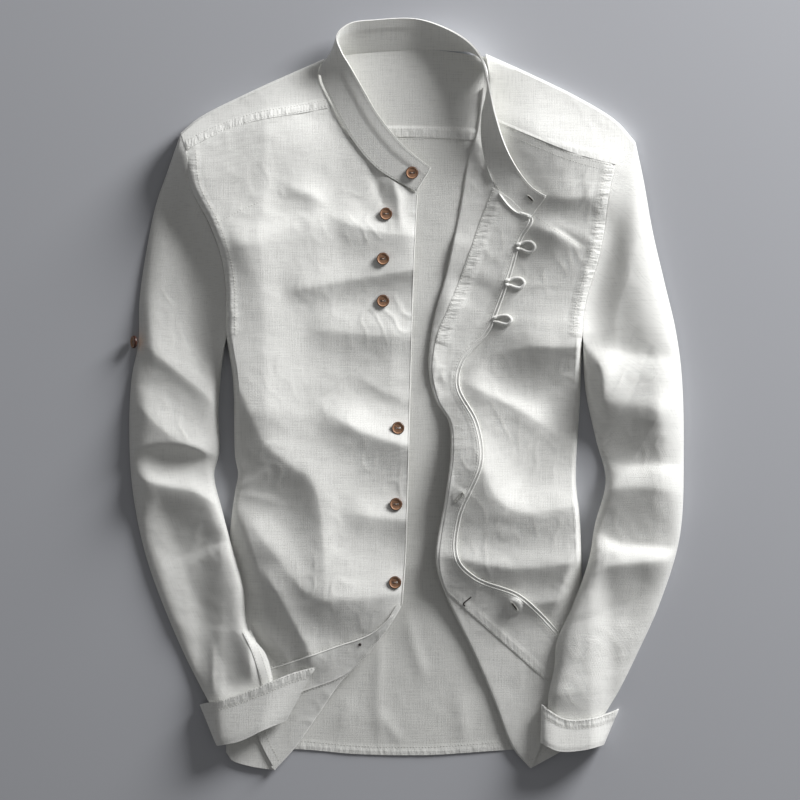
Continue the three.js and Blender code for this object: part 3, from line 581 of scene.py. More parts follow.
# %% Cloth material
THREAD = 0.6  # from one thread to the next
WAVES_A_SCALE = 20  # Blender's wave texture repeats 20 times in 2 pi of its scale
SLUB_STRETCH = (1100, 45, 1)
TUCK_HEIGHT = 15.0


def cloth(name, colour, shade=0.06):
    """Plain-woven cloth of one colour, with slubs."""
    material = bpy.data.materials.new(name)
    material.use_nodes = True
    nodes = material.node_tree.nodes
    links = material.node_tree.links
    shader = nodes["Principled BSDF"]
    shader.inputs["Roughness"].default_value = 0.88
    shader.inputs["Sheen Weight"].default_value = 0.25
    shader.inputs["Sheen Roughness"].default_value = 0.5
    shader.inputs["Specular IOR Level"].default_value = 0.15
    grain = nodes.new("ShaderNodeUVMap")
    grain.uv_map = "weave"

    def threads(turned):
        turn = nodes.new("ShaderNodeMapping")
        turn.inputs["Rotation"].default_value[2] = math.pi / 2 if turned else 0
        links.new(grain.outputs["UV"], turn.inputs["Vector"])
        wave = nodes.new("ShaderNodeTexWave")
        wave.inputs["Scale"].default_value = 2 * math.pi / (WAVES_A_SCALE * THREAD * MM)
        wave.inputs["Distortion"].default_value = 0.6
        links.new(turn.outputs["Vector"], wave.inputs["Vector"])
        stretch = nodes.new("ShaderNodeMapping")
        stretch.inputs["Scale"].default_value = SLUB_STRETCH
        links.new(turn.outputs["Vector"], stretch.inputs["Vector"])
        slub = nodes.new("ShaderNodeTexNoise")
        slub.inputs["Scale"].default_value = 1
        slub.inputs["Detail"].default_value = 3
        links.new(stretch.outputs["Vector"], slub.inputs["Vector"])
        return wave.outputs["Fac"], slub.outputs["Fac"]

    def mixed(one, other, operation):
        node = nodes.new("ShaderNodeMath")
        node.operation = operation
        for socket, value in zip(node.inputs, (one, other)):
            if isinstance(value, float):
                socket.default_value = value
            else:
                links.new(value, socket)
        return node.outputs["Value"]

    def tucks(attribute, across, down):
        where = nodes.new("ShaderNodeAttribute")
        where.attribute_name = attribute
        stretch = nodes.new("ShaderNodeMapping")
        stretch.inputs["Scale"].default_value = (across, down, 1)
        links.new(grain.outputs["UV"], stretch.inputs["Vector"])
        uneven = nodes.new("ShaderNodeTexNoise")
        uneven.inputs["Scale"].default_value = 1
        uneven.inputs["Detail"].default_value = 2
        links.new(stretch.outputs["Vector"], uneven.inputs["Vector"])
        deep = mixed(uneven.outputs["Fac"], TUCK_HEIGHT, "MULTIPLY")
        return mixed(deep, where.outputs["Fac"], "MULTIPLY")

    warp, warp_slub = threads(False)
    weft, weft_slub = threads(True)
    slubs = mixed(warp_slub, weft_slub, "ADD")
    height = mixed(mixed(warp, weft, "MULTIPLY"), mixed(slubs, 1.2, "MULTIPLY"), "ADD")
    for attribute, across, down in (("tucks_down", 60, 190), ("tucks_across", 190, 60)):
        height = mixed(height, tucks(attribute, across, down), "ADD")
    bump = nodes.new("ShaderNodeBump")
    bump.inputs["Distance"].default_value = 0.35 * MM
    bump.inputs["Strength"].default_value = 0.6
    links.new(height, bump.inputs["Height"])
    links.new(bump.outputs["Normal"], shader.inputs["Normal"])
    tone = nodes.new("ShaderNodeValToRGB")
    tone.color_ramp.elements[0].position = 0.75
    tone.color_ramp.elements[0].color = (*[value * (1 - shade) for value in colour], 1)
    tone.color_ramp.elements[1].position = 1.25
    tone.color_ramp.elements[1].color = (*[min(value * (1 + shade), 1) for value in colour], 1)
    links.new(slubs, tone.inputs["Fac"])
    links.new(tone.outputs["Color"], shader.inputs["Base Color"])
    return material


def plain(name, colour, roughness):
    """A finish of one colour."""
    material = bpy.data.materials.new(name)
    material.use_nodes = True
    shader = material.node_tree.nodes["Principled BSDF"]
    shader.inputs["Base Color"].default_value = (*colour, 1)
    shader.inputs["Roughness"].default_value = roughness
    return material


linen = cloth("linen", (0.90, 0.90, 0.87))
# Of the three finishes below, the second is the same linen about 9 % darker: painted shade for the back
# panel, which lies low between the fronts.
painted_shade_linen = cloth("painted_shade_linen", (0.82, 0.82, 0.79))
doubled = cloth("doubled_linen", (0.90, 0.90, 0.87))
print("cloth finishes:", linen.name, painted_shade_linen.name, doubled.name)

# %% [markdown]
# ## Puckered seams and stitching
#
# Where cloth is sewn in two or more layers and then washed, the thread shrinks less than the cloth, so the
# seam puckers in short tucks square to it. `pucker` marks how strongly each corner of a piece is drawn in;
# the finish turns the mark into relief. Stitches are small beads of thread, laid on whatever cloth is on top.

# %% Puckers, heights from above, and stitches


def pucker(piece, mark, line, reach, strength=1.0):
    """Marks the tucks beside a line, as wide as `reach` to its left (positive) or right (negative)."""
    corners = np.array([vertex.co for vertex in piece.data.vertices])[:, :2]
    spots = (corners - np.array(ZERO)[:2]) / MM
    off, come = beside(along(line, EVEN(0, 1, 40)), *spots.T)
    reach_off = off / reach
    whole = length_of(line)
    drawn = strength * ramp(reach_off, -0.25, 0.1) * ramp(reach_off, 1.15, 0.6)
    drawn *= ramp(come, 0, 4) * ramp(whole - come, 0, 4)
    held = piece.data.attributes.get(mark) or piece.data.attributes.new(mark, "FLOAT", "POINT")
    for entry, value in zip(held.data, drawn):
        entry.value = max(entry.value, value)


def seen_from_above(*pieces):
    """A function that tells how high the topmost of these pieces is at each place, in millimetres."""
    corners = []
    faces = []
    for piece in pieces:
        first = len(corners)
        corners.extend(vertex.co for vertex in piece.data.vertices)
        faces.extend([corner + first for corner in polygon.vertices] for polygon in piece.data.polygons)
    tree = BVHTree.FromPolygons(corners, faces)

    def height(points):
        heights = []
        for x, y in np.asarray(points, float)[:, :2]:
            spot = Vector((x * MM + ZERO.x, y * MM + ZERO.y, 0.1))
            hit = tree.ray_cast(spot, Vector((0, 0, -1)))[0]
            heights.append(hit.z / MM if hit else math.nan)
        return np.array(heights)

    return height


def filled(heights):
    """The same heights, with those of points beside the cloth taken from their neighbours."""
    known = np.isfinite(heights)
    return np.interp(EVEN(0, len(heights) - 1, len(heights)), np.flatnonzero(known), heights[known])


def offset(line, distance):
    """The same line, moved to its left by a distance."""
    points, sideways = across_line(line, EVEN(0, 1, max(12, int(length_of(line) / 4))))
    return points + sideways * distance


def stitches(name, lines, height, long=2.1, gap=0.9, wide=0.6):
    """Rows of stitches along lines, laid on the cloth."""
    beads = bmesh.new()
    for line in lines:
        count = max(2, int(length_of(line) / (long + gap)))
        shares = (np.arange(count) + 0.5) / count
        middle = along(line, shares)
        ahead = np.gradient(along(line, shares), axis=0)
        z = height(middle)
        slope = np.gradient(z)
        for spot, way, up, rise in zip(middle, ahead, z, slope):
            if not math.isfinite(up) or not math.isfinite(rise) or abs(rise) > 2:
                continue
            way = Vector((*way, rise)).normalized()
            turn = way.to_track_quat("X", "Z").to_matrix().to_4x4()
            size = Matrix.Diagonal((long / 2 * MM, wide / 2 * MM, wide / 2.4 * MM, 1))
            place = Matrix.Translation(Vector(in_place((*spot, up + 0.05))))
            bmesh.ops.create_uvsphere(beads, u_segments=6, v_segments=3, radius=1, matrix=place @ turn @ size)
    piece = placed(name, beads)
    print(f"{name}: {len(lines)} rows, {sum(len(p.vertices) - 2 for p in piece.data.polygons)} triangles")
    return piece


# %% [markdown]
# ## The back panel
#
# One wide piece that everything else lies on. Only its inside shows, between the two fronts, so it lies
# face down. Long soft creases run down it towards the hem.

# %% Back panel
BACK_CREASES = table(
    FOLD,
    (1.8, 5, 7, [(5, -200), (14, -245), (30, -290)]),
    (1.5, 5, 6, [(-18, -230), (-22, -290), (-19, -350)]),
    (1.3, 4, 5, [(-24, -305), (-8, -330), (6, -350)]),
    (1.6, 3, 4, [(32, 8), (38, -4), (50, -22)]),
    (1.4, 7, 7, [(58, -280), (62, -315), (66, -355)]),
    (1.1, 6, 6, [(-64, -338), (-55, -315), (-48, -290)]),
    (1.8, 40, 14, [(6, 228), (6, 150), (4, 40), (2, -60), (-6, -190)]))
BACK_INSET = 1.8  # clear of the fronts' rolled sides
BACK_RISE = 1.1
BACK_LEAST = 0.7
plan = patch(SIDE_RIGHT, SIDE_LEFT, YOKE_BACK_SEAM, BACK_HEM, EVEN(0, 1, 170), EVEN(0, 1, 104))
y = plan[..., 1]
x = np.clip(plan[..., 0], look_up(SIDE_RIGHT, y) + BACK_INSET, look_up(SIDE_LEFT, y) - BACK_INSET)
z = BACK_RISE + relief(BACK_CREASES, x, y) + crumple(x, y, CRUMPLE["back"], 0.5)
back_panel = net("back_panel", np.stack([x, y, np.maximum(z, BACK_LEAST)], axis=-1))
# The back panel wears the darker copy of the linen, which is painted shade.
dress(back_panel, painted_shade_linen, "cloth", "back")

# %% [markdown]
# ## A front's side and its turned part
#
# Below the armhole, a front's side rolls down to the surface, where the side seam joins it to the back. At
# the turned corner and at the turned-back strip the cloth goes round a tight bend and lies on its own face,
# wrong side up. Both are rows of points that continue the grid, so the cloth is one piece.

# %% Roll and turn
ROLL = EVEN(0, math.pi / 2, 6)
BEND = EVEN(0, math.pi, 7)[1:]
TURN_RADIUS = 0.8
ROLL_WIDTH = 6
ARMHOLE_SUNK = {"right": 0.3, "left": 0.07}  # share by which the seam lies lower than the folds
FIRST_COLUMN = 0.035  # share across a front where its plan starts, inside the rolled side
LEAST_TURNED = 5  # the narrowest that turned-over cloth gets


def seam_height(x, y):
    """Height of the armhole seam, which the front rolls down to, and of the side seam below it."""
    sunk = np.where(x < 0, ARMHOLE_SUNK["right"] * ramp(y, 250, 190), ARMHOLE_SUNK["left"])
    return body_top(x, y) * (1 - sunk) * (1 - ramp(y, *SIDE_ROLL))


def rolled_side(plan, side):
    """Columns of a front from its side seam to the first column of its plan."""
    inward = plan[:, 0] - side
    inward /= np.linalg.norm(inward, axis=1)[:, None]
    steps = ROLL_WIDTH * (1 - np.cos(ROLL)) + 1e-3
    points = side[:, None] + inward[:, None] * steps[None, :, None]
    full = body_top(points[..., 0], points[..., 1])
    seam = seam_height(side[:, 0], side[:, 1])[:, None]
    height = seam + (full - seam) * np.sin(ROLL)[None]
    return np.concatenate([points, height[..., None]], axis=-1)


def turned_over(fold, inward, edge, shares):
    """Rows of cloth round the bend at a fold and on to a free edge."""
    centre = fold + inward * (TURN_RADIUS + CLOTH)
    rows = []
    for angle in BEND:
        spot = centre - inward * TURN_RADIUS * math.sin(angle)
        rows.append(np.column_stack([spot, body_top(*spot.T) + TURN_RADIUS * (1 - math.cos(angle))]))
    for share in shares:
        spot = centre + (edge - centre) * share
        rows.append(np.column_stack([spot, body_top(*spot.T) + 2 * TURN_RADIUS]))
    return np.stack(rows)


print(f"a turned edge is {2 * TURN_RADIUS + CLOTH:.2f} mm higher than the face it lies on")


# %% [markdown]
# ## The right front
#
# The buttons are sewn to this one. Its lower corner is folded up over itself on a slant, from the hem to the
# front edge, and shows its wrong side.

# %% Right front
ROWS = 270
hem_and_fold = joined(HEM_RIGHT, CORNER_FOLD)
tip = length_of(HEM_RIGHT) / length_of(hem_and_fold)
turn_shares = EVEN(0, 1, 92)
fold, inward = across_line(CORNER_FOLD, turn_shares)
lower = joined(HEM_RIGHT, fold + inward * (TURN_RADIUS + CLOTH))
across = np.concatenate([EVEN(FIRST_COLUMN, tip, 20), EVEN(tip, 1, 92)[1:]])
plan = patch(SIDE_RIGHT, EDGE_RIGHT, joined(YOKE_SEAM_RIGHT, NECK_RIGHT), lower, EVEN(0, 1, ROWS), across)
flat = at_height(plan, body_top(plan[..., 0], plan[..., 1]))
flat = np.concatenate([rolled_side(plan, along(SIDE_RIGHT, EVEN(0, 1, ROWS))), flat], axis=1)
first_turned = flat.shape[1] - len(fold)
edge = along(CORNER_EDGE, turn_shares)
short = ((edge - fold) * inward).sum(axis=1) < LEAST_TURNED
edge[short] = (fold + inward * LEAST_TURNED)[short]
turned = turned_over(fold, inward, edge, EVEN(0, 1, 46)[1:])
rows = np.zeros((len(turned), flat.shape[1], 3))
rows[:, first_turned:] = turned
points = np.concatenate([flat, rows])
x, y = points[..., 0], points[..., 1]
points[..., 2] += crumple(x, y, CRUMPLE["right"]) * open_to_view(x, y)
right_front = net("right_front", points, keep=lambda row, column: row < ROWS - 1 or column >= first_turned)
dress(right_front, linen, "cloth", "front_right")

# %% [markdown]
# ## The left front
#
# Its whole front edge is turned back over its own face, from the neck to the hem, so that the inside of the
# button strip faces up.

# %% Left front
down = EVEN(0, 1, 285)
top = joined(YOKE_SEAM_LEFT, NECK_LEFT)
corner = length_of(YOKE_SEAM_LEFT) / length_of(top)
fold, inward = across_line(FOLD_LEFT, down)
plan = patch(
    SIDE_LEFT, fold + inward * (TURN_RADIUS + CLOTH), top, HEM_LEFT, down,
    np.concatenate([EVEN(FIRST_COLUMN, corner, 62), EVEN(corner, 1, 14)[1:]]))
flat = at_height(plan, body_top(plan[..., 0], plan[..., 1]))
side = rolled_side(plan, along(SIDE_LEFT, down))
strip_plan = patch(FOLD_LEFT, STRIP_EDGE, np.array([FOLD_LEFT[0], STRIP_EDGE[0]]), STRIP_HEM, down, [0, 1])
edge = strip_plan[:, 1]
reach = np.linalg.norm(edge - fold, axis=1)
short = reach < LEAST_TURNED
edge[short] = (fold + inward * LEAST_TURNED)[short]
turned = turned_over(fold, inward, edge, EVEN(0, 1, 24)[1:])
points = np.concatenate([side, flat, turned.transpose(1, 0, 2)], axis=1)
x, y = points[..., 0], points[..., 1]
points[..., 2] += crumple(x, y, CRUMPLE["left"]) * open_to_view(x, y)
left_front = net("left_front", points[:, ::-1])
dress(left_front, linen, "cloth", "front_left")

# %% [markdown]
# ## The yoke
#
# A doubled piece that carries the shirt on the shoulders. It is sewn to the fronts below the shoulder,
# wraps round the fold at the shoulder and runs down to a seam across the back.

# %% Yoke
SHOULDER_RADIUS = 2.5
FRONT_STEPS = 22
BEND_DOWN = EVEN(0, math.pi, 7)
BACK_STEPS = 60
SEAM_BAND = (11, 9.5)  # the doubled band along the back seam begins between these two widths
SEAM_LIFT = 1.1
YOKE_REST = 0.4
YOKE_COLUMNS = 60
NECK_START, NECK_END = 0.33, 0.68  # shares of the back seam below the neck's two ends


def down_the_back(start, low):
    """Rows of the yoke from the shoulder or the neck to the back seam, with the doubled band there."""
    reach = np.linalg.norm(low - start, axis=1)
    rows = []
    for share in EVEN(0, 1, BACK_STEPS)[1:]:
        lift = SEAM_LIFT * ramp(reach * (1 - share), *SEAM_BAND)
        rows.append(np.column_stack([start + (low - start) * share, lift]))
    return rows


def over_shoulder(front, shoulder, neck_end, arm_end, start, end, mirrored):
    """Columns of the yoke over one shoulder, from front seam to back seam."""
    shares = EVEN(0, 1, YOKE_COLUMNS)
    left, right = (neck_end, arm_end) if mirrored else (arm_end, neck_end)
    plan = patch(left, right, shoulder, front, EVEN(0, 1, FRONT_STEPS + 1), shares)
    top = plan[0]
    inward = plan[-1] - top
    inward /= np.linalg.norm(inward, axis=1)[:, None]
    bend = top + inward * SHOULDER_RADIUS
    low = along(YOKE_BACK_SEAM, start + (end - start) * shares)
    rows = []
    for step in range(FRONT_STEPS, 0, -1):
        spot = plan[step]
        near = np.minimum(1, np.linalg.norm(spot - top, axis=1) / SHOULDER_RADIUS)
        spot = np.where((near < 1)[:, None], bend, spot)
        rows.append(np.column_stack([spot, body_top(spot[:, 0], spot[:, 1])]))
    for angle in BEND_DOWN:
        spot = bend - inward * SHOULDER_RADIUS * math.sin(angle)
        rows.append(np.column_stack([spot, body_top(*bend.T) * (1 + math.cos(angle)) / 2]))
    return np.stack(rows + down_the_back(bend, low))


arm_right = np.array([SHOULDER_RIGHT[0], YOKE_SEAM_RIGHT[0]])
arm_left = np.array([SHOULDER_LEFT[0], YOKE_SEAM_LEFT[0]])
right = over_shoulder(YOKE_SEAM_RIGHT, SHOULDER_RIGHT, YOKE_NECK_RIGHT, arm_right, 0, NECK_START, False)
left = over_shoulder(YOKE_SEAM_LEFT[::-1], SHOULDER_LEFT[::-1], YOKE_NECK_LEFT, arm_left, NECK_END, 1, True)
neck_shares = EVEN(0, 1, 42)[1:-1]
neck = along(NECKLINE, neck_shares)
low_line = along(YOKE_BACK_SEAM, NECK_START + (NECK_END - NECK_START) * neck_shares)
rows = [np.column_stack([neck, np.zeros(len(neck))])] * (FRONT_STEPS + len(BEND_DOWN))
rows += down_the_back(neck, low_line)
points = np.concatenate([right, np.stack(rows), left], axis=1)
necks = range(YOKE_COLUMNS - 1, YOKE_COLUMNS + len(neck_shares))
on_front = points[:FRONT_STEPS]
on_front[..., 2] += YOKE_REST + crumple(on_front[..., 0], on_front[..., 1], CRUMPLE["yoke"], 0.6)
shoulder_yoke = net(
    "shoulder_yoke", points[::-1], keep=lambda row, column: row < BACK_STEPS - 1 or column not in necks)
dress(shoulder_yoke, linen, "cloth", "yoke")

# %% [markdown]
# ## The sleeves
#
# A tube pressed flat on a table is not a flat strip: its edges stay rounded and air stays inside. Each row
# of the net goes from the outer edge over the top to the inner edge, and back underneath. At the armhole the
# top starts at the height of the front, so that the seam runs smoothly.

# %% Sleeves
CUFF_LIFT = 3.3  # the cuff's lower layer is under the sleeve's end
SLEEVE_TROUGH = 9
SLEEVE_EDGE = 2
SEAM_BLEND = {"right": 48, "left": 34}  # from the armhole seam's height to the tube's
CLEAR = 1.2
TURNED_STACK = 4.8  # a turned-over part with its placket


def lifted(side, outward, front_y, turned_y):
    """The height of what a sleeve lies on, as a function of place."""
    def lift(x, y):
        out = (x - look_up(side, y)) * outward
        on_front = ramp(out, 30, 3) * ramp(y, *front_y)
        return on_front * (BODY_RISE + CLEAR + TURNED_STACK * ramp(y, *turned_y))
    return lift


LIFT = {
    "right": lifted(SIDE_RIGHT, -1, (-95, -135), (-215, -258)),
    "left": lifted(SIDE_LEFT, 1, (-110, -178), (-150, -226)),
}


def crowded(count):
    """Shares from 0 to 1, closer together near both ends, where a flat tube bends."""
    even = EVEN(0, 1, count)
    return 0.55 * even + 0.45 * (1 - np.cos(math.pi * even)) / 2


def arch(across):
    """Section of a flat tube, from one edge (0) to the other (1)."""
    return (1 - np.abs(2 * across - 1) ** 5) ** 0.45


def sleeve_points(side):
    """Rings of points down a sleeve."""
    rails = SLEEVES[side]
    down = EVEN(0, 1, 262)
    over = crowded(48)
    under = over[-2:0:-2]
    end = np.array([rails["outer"][-1], rails["inner"][-1]])
    height = np.interp(down, *SLEEVE_HEIGHT[side].T)[:, None]
    raised = CUFF_LIFT * ramp(down, 0.84, 0.92)[:, None]
    top = patch(rails["outer"], rails["inner"], rails["armhole"], end, down, over)
    x, y = top[..., 0], top[..., 1]
    base = LIFT[side](x, y) + raised
    inside = (ramp(down, 0.97, 0.9) * ramp(down, 0, 0.03))[:, None]
    folds = settle(relief(SLEEVE_FOLDS[side], x, y), SLEEVE_TROUGH) * inside
    wrinkles = crumple(x, y, CRUMPLE[f"{side}_sleeve"]) * inside
    tube = base + height * arch(over) + (folds + wrinkles) * arch(over) ** 2
    tube[:, [0, -1]] = base[:, [0, -1]] + SLEEVE_EDGE
    off, _ = beside(rails["armhole"][::6], x, y)
    blend = ramp(np.abs(off), 0, SEAM_BLEND[side])
    z = np.maximum(seam_height(x, np.maximum(y, ARM_HOLE_END + 6)), 2) * (1 - blend) + tube * blend
    z[:, [0, -1]] = np.minimum(z[:, [0, -1]], base[:, [0, -1]] + SLEEVE_EDGE)
    upper = at_height(top, z)
    low = patch(rails["outer"], rails["inner"], rails["armhole"], end, down, under)
    base = LIFT[side](low[..., 0], low[..., 1]) + raised
    lower = at_height(low, base)
    return np.concatenate([upper, lower, upper[:, :1]], axis=1)


for side in SLEEVES:
    points = sleeve_points(side)
    if side == "left":
        points = points[:, ::-1]
    ring = np.linalg.norm(np.diff(points, axis=1), axis=-1)
    grain = np.stack([np.pad(np.cumsum(ring, axis=1), ((0, 0), (1, 0))), points[..., 1]], axis=-1)
    sleeve = net(f"{side}_sleeve", points, grain, closed=True)
    dress(sleeve, linen, "cloth", f"sleeve_{side}")

# %% [markdown]
# ## The cuffs
#
# Each cuff is turned back over its sleeve. The left one is closed, and the right one stands open: the end of
# its upper layer runs on past the sleeve.

# %% Cuffs
CUFF_HEIGHT = 11.6
CUFF_FLARE = 0.42  # share of the open cuff's width that runs on past the sleeve
CUFF_CLOTH = 1.3
CUFF_RIM = 0.8  # thicker at the folded edge
CUFF_LIP = 0.8  # rolled in at the other
CUFF_TILT = {"right": 0.5, "left": 7}


def cuff_points(side, is_open):
    """Rings of points down a cuff, from its folded edge."""
    top, bottom = CUFFS[side]["top"], CUFFS[side]["bottom"]
    over = crowded(56)
    under = over[-2:0:-1]
    if is_open:
        under = under[under > CUFF_FLARE]
    low_edge = 3 if is_open else CUFF_HEIGHT / 2
    rows = []
    for down in EVEN(0, 1, 24):
        lip = CUFF_LIP * ramp(down, 0.85, 1)

        def spots(shares, height):
            flat = along(top, shares) * (1 - down) + along(bottom, shares) * down
            return np.column_stack([flat, LIFT[side](flat[:, 0], flat[:, 1]) + height])

        rise = np.where(over < 0.5, ramp(over, 0, CUFF_FLARE), arch(over)) if is_open else arch(over)
        upper = low_edge + (CUFF_HEIGHT - low_edge) * rise - lip
        upper += CUFF_RIM * ramp(down, 0.14, 0.04) * arch(over)
        upper += CUFF_TILT[side] * down * arch(over)
        upper[-1] = CUFF_HEIGHT / 2
        rows.append(np.vstack([spots(over, upper), spots(under, np.full(len(under), 0.2 + lip))]))
    points = np.stack(rows)
    return points if is_open else np.concatenate([points, points[:, :1]], axis=1)


for side, is_open in (("right", True), ("left", False)):
    points = cuff_points(side, is_open)
    if side == "left":
        points = points[:, ::-1]
    cuff = net(f"{side}_cuff", points, closed=not is_open, thickness=CUFF_CLOTH)
    dress(cuff, doubled, "doubled_cloth", f"cuff_{side}")

# %% [markdown]
# ## The collar band
#
# A stand collar without a fold-over: a stiffened double band, sewn to the neckline. At the back it leans
# out and shows its inside. Its ends lie on the fronts. A ray from above finds how high the cloth is under
# each corner, and the band is kept above that. Behind the neck its sewn edge reaches a little further in.

# %% Collar band
COLLAR = table(
    "x y z top_x top_y top_z",
    (16, 208, 5, 31, 232, 8), (-23, 231, 5, 4, 254, 9), (-48, 260, 5, -21, 284, 10),
    (-69, 298, 5, -38, 313, 13),
    (-79, 324, 5, -50, 334, 18), (-76, 336, 4, -58, 348, 25), (-68, 343, 2.6, -62, 363, 27),
    (-50, 347, 2, -50, 375, 22), (-22, 350, 2, -24, 379, 18), (20, 352, 2, 16, 380, 17),
    (52, 350, 2.2, 46, 370, 23), (72, 347, 3, 68, 356, 29), (83, 337, 4.5, 80, 341, 32),
    (87, 320, 7, 86, 322, 33), (85, 302, 8, 90, 304, 32), (81, 285, 8.3, 94, 286, 30),
    (81, 256, 8.3, 104, 255, 23), (88, 228, 8.3, 116, 232, 19), (101, 202, 8.3, 130, 214, 15),
    (114, 188, 8.3, 139, 207, 12.5), (129.5, 181.5, 8.3, 145.5, 203.5, 11.5))
BAND_CLOTH = 1.6
COLLAR_REST = 0.4
COLLAR_STEP = 0.8  # along the row of stitches on its lower half
SHELL = 0.45  # thickness of a placket's shell
BEHIND_NECK = 325
sewn = smooth_line([(row["x"], row["y"], row["z"]) for row in COLLAR], 8)
free = smooth_line([(row["top_x"], row["top_y"], row["top_z"]) for row in COLLAR], 8)
seam_end = np.where(sewn[:, 1] > BEHIND_NECK, -0.06, 0.02)
up = (1 - EVEN(0, 1, 18)[:, None] * (1 - seam_end))[..., None]
points = sewn * (1 - up) + free * up
below = seen_from_above(right_front, left_front)(points.reshape(-1, 3)).reshape(points.shape[:2])
resting = np.where(points[..., 0] < 40, COLLAR_REST, COLLAR_REST + BAND_CLOTH + SHELL)
points[..., 2] = np.fmax(points[..., 2], below + resting)
points[..., 2] += COLLAR_STEP * ramp(up[..., 0], 0.60, 0.69) * ramp(points[..., 0], 40, 0)
collar_points = points[..., :2]
collar = net("collar", points, thickness=BAND_CLOTH)
dress(collar, doubled, "doubled_cloth", "collar_band")

# %% [markdown]
# ## The buttons' finish
#
# Turned from reddish-brown wood. A noise in Object coordinates gives the veins, and the attribute `rim`,
# which each button's corners carry, paints a highlight on the raised rim and paints shade on its side.

# %% Wood of the buttons
wood = bpy.data.materials.new("button_wood")
wood.use_nodes = True
nodes, links = wood.node_tree.nodes, wood.node_tree.links
nodes["Principled BSDF"].inputs["Roughness"].default_value = 0.36
painted_rim_shading_node = nodes.new("ShaderNodeAttribute")
painted_rim_shading_node.attribute_name = "rim"
place = nodes.new("ShaderNodeTexCoord")
veins = nodes.new("ShaderNodeTexNoise")
veins.inputs["Scale"].default_value = 420
veins.inputs["Detail"].default_value = 3
links.new(place.outputs["Object"], veins.inputs["Vector"])
tone = nodes.new("ShaderNodeValToRGB")
tone.color_ramp.elements[0].color = (0.055, 0.017, 0.009, 1)
tone.color_ramp.elements[1].color = (0.62, 0.36, 0.22, 1)
tone.color_ramp.elements[1].position = 0.95
lighter = nodes.new("ShaderNodeMath")
lighter.operation = "MULTIPLY_ADD"
lighter.inputs[1].default_value = 0.55
links.new(veins.outputs["Fac"], lighter.inputs[0])
links.new(painted_rim_shading_node.outputs["Fac"], lighter.inputs[2])
links.new(lighter.outputs["Value"], tone.inputs["Fac"])
links.new(tone.outputs["Color"], nodes["Principled BSDF"].inputs["Base Color"])
print("button finish:", wood.name)

# %% [markdown]
# ## Buttons
#
# 12.7 mm across, with a raised rim, a dished face and two holes. A lathe makes the real ones, and `spin` does
# the same here: a few points go once round the middle. The holes are cut with a Boolean modifier.
#
# The plain solids put the buttons on their own, lower cloth. The six on the right front are set here on the
# higher folds, so they keep their place in plan but are 1 to 9 mm above their solids.

# %% Buttons
BUTTON = {"radius": 6.35, "thickness": 3, "rim": 1.3, "dish": 0.9}
HOLE = {"radius": 1.1, "out": 1.75}
BUTTON_REST = 0.9
BUTTON_SHARP = math.radians(40)
# The raised rim gets a painted highlight, and the button's side gets painted shade.
RIM_PAINTED_HIGHLIGHT = 0.55
SIDE_PAINTED_SHADE = 0.95
TAB_TURN = -math.pi * 0.37
BUTTONS = {
    "collar_button": "button_collar",
    **{f"chest_button_{number}": f"button_chest_{number}" for number in (1, 2, 3)},
    **{f"front_button_{number}": f"button_front_{number}" for number in (1, 2, 3)},
    "sleeve_button": "button_tab"}
ON_FRONT = list(BUTTONS.values())[1:-1]
button_threads = bmesh.new()


def drill(button, face):
    """Two holes through a button."""
    for across in (-HOLE["out"], HOLE["out"]):
        bit = bmesh.new()
        bmesh.ops.create_cone(
            bit, cap_ends=True, segments=20, radius1=HOLE["radius"] * MM, radius2=HOLE["radius"] * MM,
            depth=12 * MM, matrix=face @ Matrix.Translation((across * MM, 0, 0)))
        tool = placed("bit", bit, smooth=False)
        cut = button.modifiers.new("hole", "BOOLEAN")
        cut.operation = "DIFFERENCE"
        cut.object = tool
        settled_mesh(button).set_sharp_from_angle(angle=BUTTON_SHARP)
        bpy.data.objects.remove(tool)


